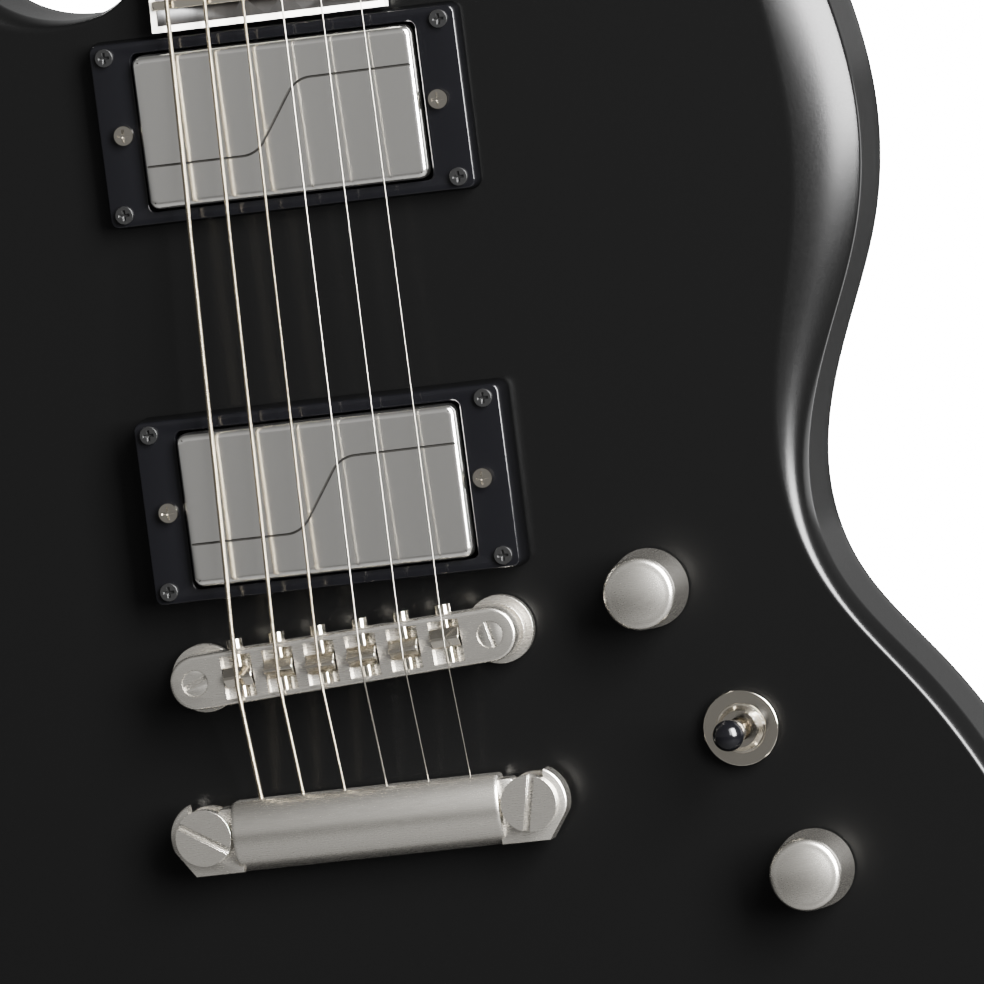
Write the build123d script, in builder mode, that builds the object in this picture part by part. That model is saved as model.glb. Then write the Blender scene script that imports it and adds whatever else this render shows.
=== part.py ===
from build123d import *
import os
from math import cos, radians, sin, sqrt, tan

os.makedirs("parts", exist_ok=True)

# Six-string solid-body electric guitar, standing upright: +X towards the treble side,
# -Y out of the face towards the player's audience, +Z up the neck to the headstock.
# The origin is where a wall hanger's fork carries the neck, at the nut.

BOTTOM = (Align.CENTER, Align.CENTER, Align.MIN)
TOP = (Align.CENTER, Align.CENTER, Align.MAX)

# ---------------------------------------------------------------- driving dimensions (mm, degrees)
scale_length = 628.65
fret_count = 24
board_overhang = 6.5        # board beyond the last fret
neck_angle = 3.0            # neck leans back from the face
head_angle = 12.0           # headstock leans back from the neck
hanger_depth = 10.0         # board surface to the middle of the neck, at the nut

body_thickness = 35.0
horn_width = 277.2
waist_width = 231.2
lower_bout_width = 332.0
body_tail = 168.0           # bridge centre to the tail end
heel_reach = 18.8           # board's end to the body's edge under the neck
bevel_depth = 6.0
back_round = 2.5
face_wood = 6.0             # wood left above the control cavity

nut_width = 43.0
board_width = 58.0          # at the body end
board_thickness = 5.5
board_radius = 305.0
board_lift = 7.0            # board surface above the face, at its body end
binding_width = 1.5
nut_length = 5.0
nut_stand = 2.0             # nut above the board
neck_depth_nut = 14.5       # wood under the board
neck_depth_heel = 17.5
heel_depth = 22.0
heel_width = 56.0
head_thickness = 14.5
head_length = 178.0
head_width = 78.0

fret_width = 2.3
fret_height = 1.1
tang_width = 0.6
tang_depth = 1.8
inlay_radius = 3.0
inlay_depth = 1.2

rod_radius = 2.5
rod_depth = 6.0             # rod axis under the board
rod_length = 430.0
rod_nut_radius = 3.4

nut_span = 35.0             # outer strings at the nut
bridge_span = 52.0          # outer strings at the saddles
string_radii = [0.58, 0.46, 0.33, 0.22, 0.165, 0.13]
action_nut = 1.7            # string axis above the board
action_last = 2.9           # string axis above the board at the last fret
saddle_rest = [-0.1, 0.4, -0.2, -0.1, 0.0, 0.9]
saddle_travel = 1.8
saddle_gap = 0.12           # crest under the string

bridge_setback = 4.2        # posts' midpoint beyond the scale length
bridge_skew = 3.1
post_spacing = 74.2
bar_end = 6.3               # bar beyond each post
bar_width = 13.2
bar_bottom = 10.3
bar_top = 15.2
bar_floor = 1.5
saddle_width = 7.0
saddle_length = 4.8
slot_play = 0.3             # each side of a saddle
rail_width = 1.4
intonation_radius = 1.25
running_gap = 0.05

tail_spacing = 81.2
tail_back = 40.0            # studs behind the bridge
tail_bar_front = 32.4
tail_bar_rear = 49.6
tail_bottom = 3.0
tail_top = 13.4
ear_top = 9.6
stud_gap = 0.2              # bar's end to the studs' flanges
ear_radius = 8.8
ear_corner = (8.3, 3.0, 3.7)    # where the ear leaves its circle, and its corner on the rear edge
tail_string_height = 7.5
string_hole = 1.5
string_bend = 3.0           # radius of a string's bends
ball_radius = 1.9
ball_length = 2.6
ball_seat = 37.5            # balls' front behind the bridge
stud_head_radius = 6.9
stud_neck_radius = 4.0
bushing_radius = 5.6
bushing_length = 20.0
thumbwheel_radius = 8.3
thumbwheel_bottom = 1.0
thumbwheel_thickness = 2.8
lock_ring_radius = 6.6
lock_ring_bottom = 4.2
lock_ring_top = 6.6

neck_pickup_reach = 23.8    # board's end to the neck pickup's centre
bridge_pickup = 39.5        # bridge centre to the bridge pickup's centre
cover_length = 69.6
cover_width = 37.4
cover_height = 13.0
cover_wall = 0.8
cover_round = 1.6
neck_cover_top = 7.6
bridge_cover_top = 12.4
neck_ring_height = 5.0
bridge_ring_height = 9.5
ring_length = 91.0
ring_width = 44.6
ring_play = 0.6             # round the cover
ring_screw_x = 83.4
ring_screw_y = 38.4
height_screw_reach = 4.4    # height screws beyond the cover's ends
bobbin_gap = 1.8            # cover's end to the bobbins
magnet_gap = 4.8            # cover's end to the bar magnet
bobbin_width = 16.4
bobbin_spacing = 17.4
magnet_width = 4.0
height_screw_radius = 1.25
height_screw_head = 2.35
pickup_cavity_depth = 22.0
leg_gap = 6.0               # face to the pickup's legs
plate_thickness = 1.3

volume_place = (74.6, 7.8)
tone_place = (106.4, -64.0)
toggle_place = (92.9, -28.2)
knob_radius = 9.7
knob_top_radius = 8.9
knob_height = 15.6
knob_gap = 1.2
shaft_radius = 3.0
pot_radius = 12.0
pot_height = 7.5
pull_travel = 4.0
switch_height = 8.0
toggle_angle = 12.0
lever_radius = 1.6
lever_ball = 3.6
toggle_nut_radius = 9.2
toggle_bushing_radius = 6.0
toggle_pivot = 1.0
toggle_pin_radius = 0.8
toggle_pin_length = 9.2
tip_radius = 3.8
tip_top = 22.5

cover_plate = 2.2           # control cover thickness
cover_lip = 5.0             # cover beyond the cavity
battery_size = (26.5, 48.5, 17.5)

jack_drop = 85.0            # jack below the bridge centre
jack_bore = 3.25
jack_bore_length = 26.0
jack_barrel_radius = 4.7
jack_body_radius = 7.0
jack_plate_size = (36.0, 20.0, 1.6)
jack_seat = 3.2             # flat cut into the body's side

button_radius = 7.0
button_neck = 4.2
button_height = 11.0
button_seat = 1.2

wood_screw_radius = 1.2
wood_screw_head = 2.2
wood_screw_head_height = 1.2
wood_screw_length = 14.0
cover_screw_length = 10.0

tuner_rows = [40.0, 82.0, 124.0]
tuner_offset = 27.0
post_radius = 3.0
post_waist = 2.4
post_height = 13.0
winding_height = 6.2        # middle of the windings above the headstock
winding_gap = 0.15
winding_turns = [3, 3, 3, 4, 5, 5]
tuner_bushing_radius = 4.9
housing_size = (15.0, 20.0, 9.2)
housing_wall = 1.3
gear_radius = 4.2
worm_radius = 2.0
gear_gap = 0.1
stem_radius = 1.8
tuner_button_reach = 45.0
tuner_button_size = (13.0, 17.0, 6.0)

# ---------------------------------------------------------------- reference planes


def leaned(origin, angle):
    """Plane facing out of the face, leaned back by an angle, its local y up the neck."""
    lean = radians(angle)
    return Plane(origin=origin, x_dir=(1, 0, 0), z_dir=(0, -cos(lean), sin(lean)))


board_length = scale_length * (1 - 0.5 ** (fret_count / 12)) + board_overhang
neck_out = Vector(0, -cos(radians(neck_angle)), sin(radians(neck_angle)))
neck_plane = leaned(neck_out * hanger_depth, neck_angle)
board_end = neck_plane.from_local_coords(Vector(0, -board_length, 0))
bridge_z = -scale_length * cos(radians(neck_angle)) - bridge_setback
face_y = board_end.Y + board_lift
face_plane = Plane(origin=(0, face_y, bridge_z), x_dir=(1, 0, 0), z_dir=(0, -1, 0))
back_plane = Plane(origin=(0, face_y + body_thickness, bridge_z), x_dir=(-1, 0, 0), z_dir=(0, 1, 0))
head_origin = neck_plane.from_local_coords(Vector(0, nut_length, -board_thickness))
head_plane = leaned(head_origin, neck_angle + head_angle)
skew = radians(bridge_skew)
bridge_plane = Plane(origin=face_plane.origin, x_dir=(cos(skew), 0, sin(skew)), z_dir=(0, -1, 0))
board_end_v = board_end.Z - bridge_z
heel_top = board_end_v + heel_reach
neck_pickup = board_end_v - neck_pickup_reach
height_screw_spacing = cover_length + 2 * height_screw_reach
bar_length = post_spacing + 2 * bar_end


def width_at(down):
    """Board width at a distance down from the nut."""
    return nut_width + (board_width - nut_width) * down / board_length


def neck_section(down):
    """Plane across the neck at a distance down from the nut, its local y into the wood."""
    origin = neck_plane.from_local_coords(Vector(0, -down, -board_thickness))
    return Plane(origin=origin, x_dir=(1, 0, 0), z_dir=neck_plane.y_dir)


def fret_place(number):
    """Distance of a fret down from the nut."""
    return scale_length * (1 - 0.5 ** (number / 12))


def under_board(v):
    """Height above the face of the board's underside, at a distance up from the bridge."""
    rise = (v - board_end_v) * tan(radians(neck_angle))
    return board_lift - board_thickness / cos(radians(neck_angle)) - rise


# ---------------------------------------------------------------- strings' courses
string_count = len(string_radii)
string_side = [-0.5 + i / (string_count - 1) for i in range(string_count)]


def crown_drop(x):
    """How far the board's crown falls at a distance x from its middle."""
    return board_radius - sqrt(board_radius**2 - x**2)


def string_x(i, down):
    """Distance of a string from the middle, at a distance down from the nut."""
    return string_side[i] * (nut_span + (bridge_span - nut_span) * down / scale_length)


def string_point(i, down):
    """Point on a string's straight course between nut and saddle."""
    x = string_x(i, down)
    lift = action_nut + (action_last - action_nut) * down / fret_place(fret_count)
    return neck_plane.from_local_coords(Vector(x, -down, lift - crown_drop(x)))


def crest_down(i):
    """Distance down from the nut at which a string crosses its saddle's crest."""
    down = scale_length
    for _ in range(4):
        place = bridge_plane.to_local_coords(string_point(i, down))
        down += place.Y - saddle_rest[i]
    return down


def post_place(i):
    """Tuner position on the headstock for a string, nearest posts for the outer strings."""
    row = i if i < string_count / 2 else string_count - 1 - i
    side = -1 if i < string_count / 2 else 1
    return side * tuner_offset, tuner_rows[row]


crests = [bridge_plane.to_local_coords(string_point(i, crest_down(i))) for i in range(string_count)]

cover_screws = [(53.4, 10), (53.4, -40), (53.4, -90), (108, -106.5), (140.5, -54.9), (86, 26.5)]

# ---------------------------------------------------------------- body
horn = horn_width / 2
waist = waist_width / 2
bout = lower_bout_width / 2

# Each half of the outline: place across, place up from the bridge, and the bevel's width there.
treble_inner = [
    (heel_width / 2 + 3, heel_top, 0.8),
    (38, heel_top - 10, 0.9),
    (52, heel_top - 13.7, 1.2),
    (68.6, heel_top - 8, 4.0),
    (81, heel_top + 9, 7.0),
    (88, heel_top + 29, 8.0),
]
treble_tip = (99, heel_top + 42, 14.0)
bass_inner = [
    (-heel_width / 2 - 3, heel_top, 0.8),
    (-38, heel_top - 10, 0.9),
    (-52, heel_top - 13.7, 1.2),
    (-68.6, heel_top - 8, 4.0),
    (-82, heel_top + 11, 7.0),
    (-90, heel_top + 36, 8.0),
]
bass_tip = (-102, heel_top + 50, 14.0)
flank = [
    (horn - 12, heel_top - 2, 13.0),
    (horn - 3.6, heel_top - 30.6, 15.0),
    (horn, 117, 16.0),
    (horn - 4, 88, 14.6),
    (horn - 14.2, 62.3, 11.0),
    (waist, 27, 5.4),
    (waist + 4, 7.0, 3.4),
    (bout - 27.5, -20.3, 3.3),
    (bout - 11, -48, 3.3),
    (bout, -90, 3.3),
    (bout - 16, -134, 3.3),
    (bout - 66, -body_tail + 7, 3.3),
]
tail_end = (0, -body_tail, 3.3)
treble_flank = [(114, heel_top + 29, 13.0)] + flank
bass_flank = [(-117, heel_top + 36, 13.0)] + [(-u, v, width) for u, v, width in flank]

rim_points = treble_inner + [treble_tip] + treble_flank + [tail_end]
rim_points += bass_flank[::-1] + [bass_tip] + bass_inner[::-1]


def outline(rim):
    """Closed outline of the body, drawn in by the bevel's own width or by one distance."""
    moved = []
    for i, (u, v, width) in enumerate(rim_points):
        step = width if rim == "bevel" else rim
        if i in (0, len(rim_points) - 1):
            side = 1 if i == 0 else -1
            moved.append((u - side * step, v - step))
        else:
            before, after = rim_points[i - 1], rim_points[i + 1]
            along = Vector(after[0] - before[0], after[1] - before[1], 0).normalized()
            moved.append((u + along.Y * step, v - along.X * step))
    with BuildSketch() as shape:
        with BuildLine():
            Spline(moved)
            Line(moved[-1], moved[0])
        make_face()
    return shape.sketch


control_corners = [
    (56, 24),
    (98, 24),
    (116, -8),
    (134, -40),
    (bout - 24, -jack_drop + 14),
    (bout - 24, -jack_drop - 12),
    (126, -104),
    (56, -104),
]
neck_pocket_end = neck_pickup + ring_width / 2 - 3.0

with BuildPart() as body:
    with BuildSketch(face_plane.offset(back_round - body_thickness)):
        add(outline(0))
    extrude(amount=body_thickness - bevel_depth - back_round)
    with BuildSketch(face_plane.offset(-body_thickness)):
        add(outline(back_round))
    with BuildSketch(face_plane.offset(back_round - body_thickness)):
        add(outline(0))
    loft(ruled=True)
    with BuildSketch(face_plane.offset(-bevel_depth)):
        add(outline(0))
    with BuildSketch(face_plane):
        add(outline("bevel"))
    loft(ruled=True)
    # neck pocket
    with BuildSketch(face_plane.offset(1)):
        with Locations((0, neck_pocket_end)):
            Rectangle(heel_width, heel_top - neck_pocket_end + 5, align=(Align.CENTER, Align.MIN))
    extrude(amount=-heel_depth - 1, mode=Mode.SUBTRACT)
    # pickup cavities with room for the legs
    with BuildSketch(face_plane):
        with Locations((0, neck_pickup), (0, bridge_pickup)):
            Rectangle(cover_length + 3, cover_width + 1.8)
            Rectangle(height_screw_spacing + 9, 14)
    extrude(amount=-pickup_cavity_depth, mode=Mode.SUBTRACT)
    # wiring channel from cavity to cavity
    channel_mouth = face_plane.from_local_coords(Vector(30, bridge_pickup, -18))
    channel_end = face_plane.from_local_coords(Vector(64, 10, -18))
    with BuildSketch(Plane(origin=channel_mouth, z_dir=channel_end - channel_mouth)):
        Circle(4)
    extrude(amount=(channel_end - channel_mouth).length, mode=Mode.SUBTRACT)
    middle = face_plane.from_local_coords(Vector(20, bridge_pickup, -18))
    with BuildSketch(Plane(origin=middle, z_dir=(0, 0, 1))):
        Circle(3)
    extrude(amount=neck_pickup - bridge_pickup, mode=Mode.SUBTRACT)
    # control cavity and its cover's rebate, from the back
    with BuildSketch(face_plane.offset(-body_thickness)) as cavity_shape:
        with BuildLine():
            Polyline(control_corners, close=True)
        make_face()
        fillet(cavity_shape.vertices(), 8)
    extrude(amount=body_thickness - face_wood, mode=Mode.SUBTRACT)
    with BuildSketch(face_plane.offset(-body_thickness)) as rebate_shape:
        with BuildLine():
            Polyline(control_corners, close=True)
        make_face()
        fillet(rebate_shape.vertices(), 8)
        offset(amount=cover_lip)
    extrude(amount=cover_plate, mode=Mode.SUBTRACT)
    # holes for the pots and the switch
    with BuildSketch(face_plane):
        with Locations(volume_place, tone_place):
            Circle(4.0)
        with Locations(toggle_place):
            Circle(toggle_bushing_radius)
    extrude(amount=-face_wood - 1, mode=Mode.SUBTRACT)
    # holes for the stud bushings
    with BuildSketch(bridge_plane):
        with GridLocations(post_spacing, 0, 2, 1):
            Circle(bushing_radius)
    extrude(amount=-bushing_length, mode=Mode.SUBTRACT)
    with BuildSketch(face_plane):
        with Locations((-tail_spacing / 2, -tail_back), (tail_spacing / 2, -tail_back)):
            Circle(bushing_radius)
    extrude(amount=-bushing_length, mode=Mode.SUBTRACT)
    # output jack: flat seat and bore in the treble side
    jack_height = face_y + body_thickness / 2
    seat_origin = (bout - jack_seat, jack_height, bridge_z - jack_drop)
    seat_plane = Plane(origin=seat_origin, x_dir=(0, 0, 1), z_dir=(1, 0, 0))
    with BuildSketch(seat_plane):
        RectangleRounded(jack_plate_size[0] + 0.4, jack_plate_size[1] + 0.4, 9)
    extrude(amount=20, mode=Mode.SUBTRACT)
    with BuildSketch(seat_plane):
        Circle(jack_body_radius + 2)
    extrude(amount=-26, mode=Mode.SUBTRACT)
    # flats for the strap buttons
    tail_origin = (0, jack_height, bridge_z - body_tail + button_seat / 2)
    tail_seat = Plane(origin=tail_origin, x_dir=(1, 0, 0), z_dir=(0, 0, -1))
    horn_origin = (bass_tip[0], jack_height, bridge_z + bass_tip[1] - button_seat)
    horn_seat = Plane(origin=horn_origin, x_dir=(1, 0, 0), z_dir=(0, 0, 1))
    with BuildSketch(tail_seat, horn_seat):
        Rectangle(34, body_thickness * 2)
    extrude(amount=10, mode=Mode.SUBTRACT)
    with BuildSketch(tail_seat, horn_seat):
        Circle(wood_screw_radius)
    extrude(amount=-20, mode=Mode.SUBTRACT)
    # pilot holes for the pickup rings' screws
    with BuildSketch(face_plane):
        with Locations((0, neck_pickup), (0, bridge_pickup)):
            with GridLocations(ring_screw_x, ring_screw_y, 2, 2):
                Circle(wood_screw_radius)
    extrude(amount=-wood_screw_length, mode=Mode.SUBTRACT)
    # pilot holes for the control cover's and the jack plate's screws
    with BuildSketch(face_plane.offset(-body_thickness)):
        with Locations(cover_screws):
            Circle(wood_screw_radius)
    extrude(amount=wood_screw_length, mode=Mode.SUBTRACT)
    with BuildSketch(seat_plane):
        with GridLocations(jack_plate_size[0] - 10, 0, 2, 1):
            Circle(wood_screw_radius)
    extrude(amount=-wood_screw_length, mode=Mode.SUBTRACT)
body.part.label = "body"
export_step(body.part, "parts/body.step")

# ---------------------------------------------------------------- neck, board and frets


def neck_profile(width, depth):
    """Half-oval neck section, flat on the board's side."""
    with BuildSketch() as profile:
        with BuildLine():
            Line((-width / 2, 0), (width / 2, 0))
            Spline(
                (width / 2, 0),
                (width * 0.39, depth * 0.68),
                (0, depth),
                (-width * 0.39, depth * 0.68),
                (-width / 2, 0),
            )
        make_face()
    return profile.sketch


heel_end = heel_top + 10
heel_down = -neck_plane.to_local_coords(face_plane.from_local_coords(Vector(0, heel_end, 0))).Y
blend_end = 26.0
head_blend = Plane(
    origin=head_plane.from_local_coords(Vector(0, blend_end, 0)), x_dir=(1, 0, 0), z_dir=head_plane.y_dir
)
rod_slot_depth = rod_depth + rod_radius
rod_cover_screws = [(0, 30), (0, 47)]
rod_tip = 14.0

with BuildPart() as neck:
    with BuildSketch(neck_section(-nut_length)):
        add(neck_profile(nut_width, neck_depth_nut))
    with BuildSketch(neck_section(heel_down)):
        add(neck_profile(width_at(heel_down), neck_depth_heel))
    loft(ruled=True)
    with BuildSketch(neck_section(-nut_length)):
        add(neck_profile(nut_width, neck_depth_nut))
    with BuildSketch(head_blend):
        add(neck_profile(nut_width + 20, head_thickness))
    loft(ruled=True)
    # heel block, from the pocket's end to just past the body
    side_plane = Plane(origin=face_plane.origin, x_dir=(0, 0, 1), z_dir=(1, 0, 0))
    with BuildSketch(side_plane):
        with BuildLine():
            Polyline(
                (neck_pocket_end, 0),
                (board_end_v, 0),
                (board_end_v, under_board(board_end_v)),
                (heel_end, under_board(heel_end)),
                (heel_end, 2 - neck_depth_heel),
                (heel_top, -heel_depth),
                (neck_pocket_end, -heel_depth),
                close=True,
            )
        make_face()
    extrude(amount=heel_width / 2, both=True)
    # headstock
    with BuildSketch(head_plane.offset(-head_thickness)):
        with BuildLine():
            top_dip = (0, head_length - 7)
            right_side = Spline(
                (nut_width / 2, 0),
                (nut_width / 2 + 9, 22),
                (head_width / 2 - 2, 48),
                (head_width / 2, 90),
                (head_width / 2 - 4, 132),
                (head_width / 2 - 10, head_length - 16),
                (head_width / 2 - 22, head_length),
            )
            left_corner = (22 - head_width / 2, head_length)
            Spline(right_side @ 1, (10, head_length - 5), top_dip, (-10, head_length - 5), left_corner)
            mirror(right_side, about=Plane.YZ)
            Line((-nut_width / 2, 0), (nut_width / 2, 0))
        make_face()
    extrude(amount=head_thickness)
    # truss rod's slot and the pocket for its nut
    with BuildSketch(neck_plane.offset(-board_thickness)):
        with Locations((0, nut_length)):
            Rectangle(2 * rod_radius, rod_length + nut_length, align=(Align.CENTER, Align.MAX))
    extrude(amount=-rod_slot_depth, mode=Mode.SUBTRACT)
    with BuildSketch(head_plane):
        with Locations((0, -2)):
            Rectangle(11, 26, align=(Align.CENTER, Align.MIN))
    extrude(amount=-8.5, mode=Mode.SUBTRACT)
    # tuner and screw holes
    with BuildSketch(head_plane):
        with Locations([post_place(i) for i in range(string_count)]):
            Circle(tuner_bushing_radius)
    extrude(amount=-head_thickness - 5, mode=Mode.SUBTRACT)
    with BuildSketch(head_plane):
        with Locations(rod_cover_screws):
            Circle(wood_screw_radius)
    extrude(amount=-9, mode=Mode.SUBTRACT)
neck.part.label = "neck"
export_step(neck.part, "parts/neck.step")


def board_outline(edge, end):
    """Tapered board outline, drawn in by an edge on each side and an end at the body."""
    half_nut = nut_width / 2 - edge
    half_end = width_at(board_length - end) / 2 - edge
    with BuildSketch() as shape:
        with BuildLine():
            end_y = end - board_length
            Polyline((-half_nut, 0), (half_nut, 0), (half_end, end_y), (-half_end, end_y), close=True)
        make_face()
    return shape.sketch


board_base = neck_plane.offset(-board_thickness)
crown_origin = neck_plane.from_local_coords(Vector(0, 20, -board_radius))
crown_axis = Plane(origin=crown_origin, x_dir=(1, 0, 0), z_dir=-neck_plane.y_dir)
inlay_frets = [3, 5, 7, 9, 15, 17, 19, 21]
inlay_spots = [(0, -(fret_place(n) + fret_place(n - 1)) / 2) for n in inlay_frets]
for n in (12, 24):
    middle_down = (fret_place(n) + fret_place(n - 1)) / 2
    inlay_spots += [(-9, -middle_down), (9, -middle_down)]


def tang_half(number):
    """Half the length of a fret's tang, between the bindings."""
    return width_at(fret_place(number)) / 2 - binding_width - 0.6


with BuildPart() as fingerboard:
    with BuildSketch(board_base):
        add(board_outline(binding_width, binding_width))
    extrude(amount=board_thickness)
    with BuildSketch(crown_axis):
        Circle(board_radius)
    extrude(amount=board_length + 40, mode=Mode.INTERSECT)
    with BuildSketch(neck_plane.offset(-inlay_depth)):
        with Locations(inlay_spots):
            Circle(inlay_radius)
    extrude(amount=inlay_depth + 1, mode=Mode.SUBTRACT)
    for n in range(1, fret_count + 1):
        with BuildSketch(neck_plane.offset(-tang_depth - crown_drop(tang_half(n)))):
            with Locations((0, -fret_place(n))):
                Rectangle(2 * tang_half(n), tang_width)
        extrude(amount=tang_depth + 5, mode=Mode.SUBTRACT)
fingerboard.part.label = "fingerboard"
export_step(fingerboard.part, "parts/fingerboard.step")

with BuildPart() as fingerboard_binding:
    with BuildSketch(board_base):
        add(board_outline(0, 0))
        add(board_outline(binding_width, binding_width), mode=Mode.SUBTRACT)
    extrude(amount=board_thickness)
    with BuildSketch(crown_axis):
        Circle(board_radius)
    extrude(amount=board_length + 40, mode=Mode.INTERSECT)
fingerboard_binding.part.label = "fingerboard_binding"
export_step(fingerboard_binding.part, "parts/fingerboard_binding.step")

with BuildPart() as inlays:
    with BuildSketch(neck_plane.offset(-inlay_depth)):
        with Locations(inlay_spots):
            Circle(inlay_radius)
    extrude(amount=inlay_depth + 1)
    with BuildSketch(crown_axis):
        Circle(board_radius)
    extrude(amount=board_length + 40, mode=Mode.INTERSECT)
inlays.part.label = "inlays"
export_step(inlays.part, "parts/inlays.step")

fret_end_slope = 0.6

with BuildPart() as frets:
    for n in range(1, fret_count + 1):
        half = width_at(fret_place(n)) / 2 - 0.4
        crown = half - fret_end_slope
        foot_y = crown_drop(half) - board_thickness
        crown_y = crown_drop(crown) - board_thickness - fret_height
        with BuildSketch(neck_section(fret_place(n) - fret_width / 2)):
            with BuildLine():
                ThreePointArc((-half, foot_y), (0, -board_thickness), (half, foot_y))
                Line((half, foot_y), (crown, crown_y))
                ThreePointArc((crown, crown_y), (0, -board_thickness - fret_height), (-crown, crown_y))
                Line((-crown, crown_y), (-half, foot_y))
            make_face()
        extrude(amount=-fret_width)
    for n in range(1, fret_count + 1):
        half = tang_half(n)
        edge_y = crown_drop(half) - board_thickness
        floor_y = edge_y + tang_depth
        with BuildSketch(neck_section(fret_place(n) - tang_width / 2)):
            with BuildLine():
                ThreePointArc((-half, edge_y), (0, -board_thickness), (half, edge_y))
                Polyline((half, edge_y), (half, floor_y), (-half, floor_y), (-half, edge_y))
            make_face()
        extrude(amount=-tang_width)
frets.part.label = "frets"
export_step(frets.part, "parts/frets.step")

with BuildPart() as nut:
    with BuildSketch(board_base):
        Rectangle(nut_width, nut_length, align=(Align.CENTER, Align.MIN))
    extrude(amount=board_thickness + nut_stand)
    fillet(nut.edges().filter_by(Axis.X).group_by(Axis.Y)[0], 1.0)
    for i in range(string_count):
        groove = string_radii[i] + running_gap
        floor_point = neck_plane.to_local_coords(string_point(i, 0))
        with BuildSketch(neck_plane.offset(floor_point.Z - groove)):
            with Locations((floor_point.X, nut_length / 2)):
                Rectangle(2 * groove, nut_length + 1)
        extrude(amount=5, mode=Mode.SUBTRACT)
nut.part.label = "nut"
export_step(nut.part, "parts/nut.step")

with BuildPart() as truss_rod:
    with BuildSketch(neck_section(rod_length - 0.5)):
        with Locations((0, rod_depth)):
            Circle(rod_radius)
    extrude(amount=rod_length + nut_length + rod_tip)
    with BuildSketch(neck_section(rod_length - 0.5)):
        with Locations((0, 0.2)):
            filler = (2 * rod_radius - 0.2, rod_depth - rod_radius - 0.2)
            Rectangle(filler[0], filler[1], align=(Align.CENTER, Align.MIN))
    extrude(amount=rod_length)
    with BuildSketch(neck_section(-nut_length - 4)):
        with Locations((0, rod_depth)):
            RegularPolygon(rod_nut_radius, 6)
    extrude(amount=8)
truss_rod.part.label = "truss_rod"
export_step(truss_rod.part, "parts/truss_rod.step")

rod_cover_thickness = 2.0

with BuildPart() as truss_rod_cover:
    with BuildSketch(head_plane):
        with BuildLine():
            cover_side = Spline((9, 1.5), (12, 16), (8, 38), (0, 52), tangents=[(0.4, 1), (-1, 0.05)])
            mirror(cover_side, about=Plane.YZ)
            Line((-9, 1.5), (9, 1.5))
        make_face()
        with Locations(rod_cover_screws):
            Circle(wood_screw_radius, mode=Mode.SUBTRACT)
    extrude(amount=rod_cover_thickness)
truss_rod_cover.part.label = "truss_rod_cover"
export_step(truss_rod_cover.part, "parts/truss_rod_cover.step")

# ---------------------------------------------------------------- pickups


def pickup_ring(place, height):
    """Frame round a pickup, with holes for its own screws and the height screws."""
    with BuildPart() as ring:
        with BuildSketch(face_plane):
            with Locations((0, place)):
                RectangleRounded(ring_length + 1.2, ring_width + 1.2, 2.5)
        with BuildSketch(face_plane.offset(height)):
            with Locations((0, place)):
                RectangleRounded(ring_length, ring_width, 2)
        loft(ruled=True)
        with BuildSketch(face_plane.offset(height)):
            with Locations((0, place)):
                RectangleRounded(cover_length + 2 * ring_play, cover_width + 2 * ring_play, 2)
                with GridLocations(height_screw_spacing, 0, 2, 1):
                    Circle(height_screw_radius + 0.4)
                with GridLocations(ring_screw_x, ring_screw_y, 2, 2):
                    Circle(wood_screw_radius)
        extrude(amount=-height, mode=Mode.SUBTRACT)
    return ring.part


def pickup_cover(place, top):
    """Thin drawn-metal cover, open below."""
    with BuildPart() as cover:
        with BuildSketch(face_plane.offset(top - cover_height)):
            with Locations((0, place)):
                RectangleRounded(cover_length, cover_width, 2.5)
        extrude(amount=cover_height)
        fillet(cover.faces().sort_by(Axis.Y)[0].edges(), cover_round)
        with BuildSketch(face_plane.offset(top - cover_height)):
            with Locations((0, place)):
                RectangleRounded(cover_length - 2 * cover_wall, cover_width - 2 * cover_wall, 1.7)
        extrude(amount=cover_height - cover_wall, mode=Mode.SUBTRACT)
    return cover.part


def pickup_core(place, top):
    """Base plate with a leg at each end, two wound bobbins and the bar magnet between them."""
    floor = top - cover_height
    with BuildPart() as core:
        with BuildSketch(face_plane.offset(floor - plate_thickness)):
            with Locations((0, place)):
                RectangleRounded(cover_length, cover_width, 2.5)
        extrude(amount=plate_thickness)
        foot_end = height_screw_spacing / 2 + 3.8
        with BuildSketch(face_plane.offset(-leg_gap - plate_thickness)):
            with Locations((0, place)):
                Rectangle(2 * foot_end, 9)
                Rectangle(cover_length - 2 * plate_thickness, 10, mode=Mode.SUBTRACT)
        extrude(amount=plate_thickness)
        with BuildSketch(face_plane.offset(-leg_gap)):
            with Locations((0, place)):
                Rectangle(cover_length, 9)
                Rectangle(cover_length - 2 * plate_thickness, 10, mode=Mode.SUBTRACT)
        extrude(amount=leg_gap + floor)
        with BuildSketch(face_plane.offset(floor)):
            with Locations((0, place)):
                with GridLocations(0, bobbin_spacing, 1, 2):
                    RectangleRounded(cover_length - 2 * bobbin_gap, bobbin_width, 7)
                Rectangle(cover_length - 2 * magnet_gap, magnet_width)
        extrude(amount=cover_height - cover_wall - 1)
        with BuildSketch(face_plane.offset(10)):
            with Locations((0, place)):
                with GridLocations(height_screw_spacing, 0, 2, 1):
                    Circle(height_screw_radius + running_gap)
        extrude(amount=-40, mode=Mode.SUBTRACT)
    return core.part


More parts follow.
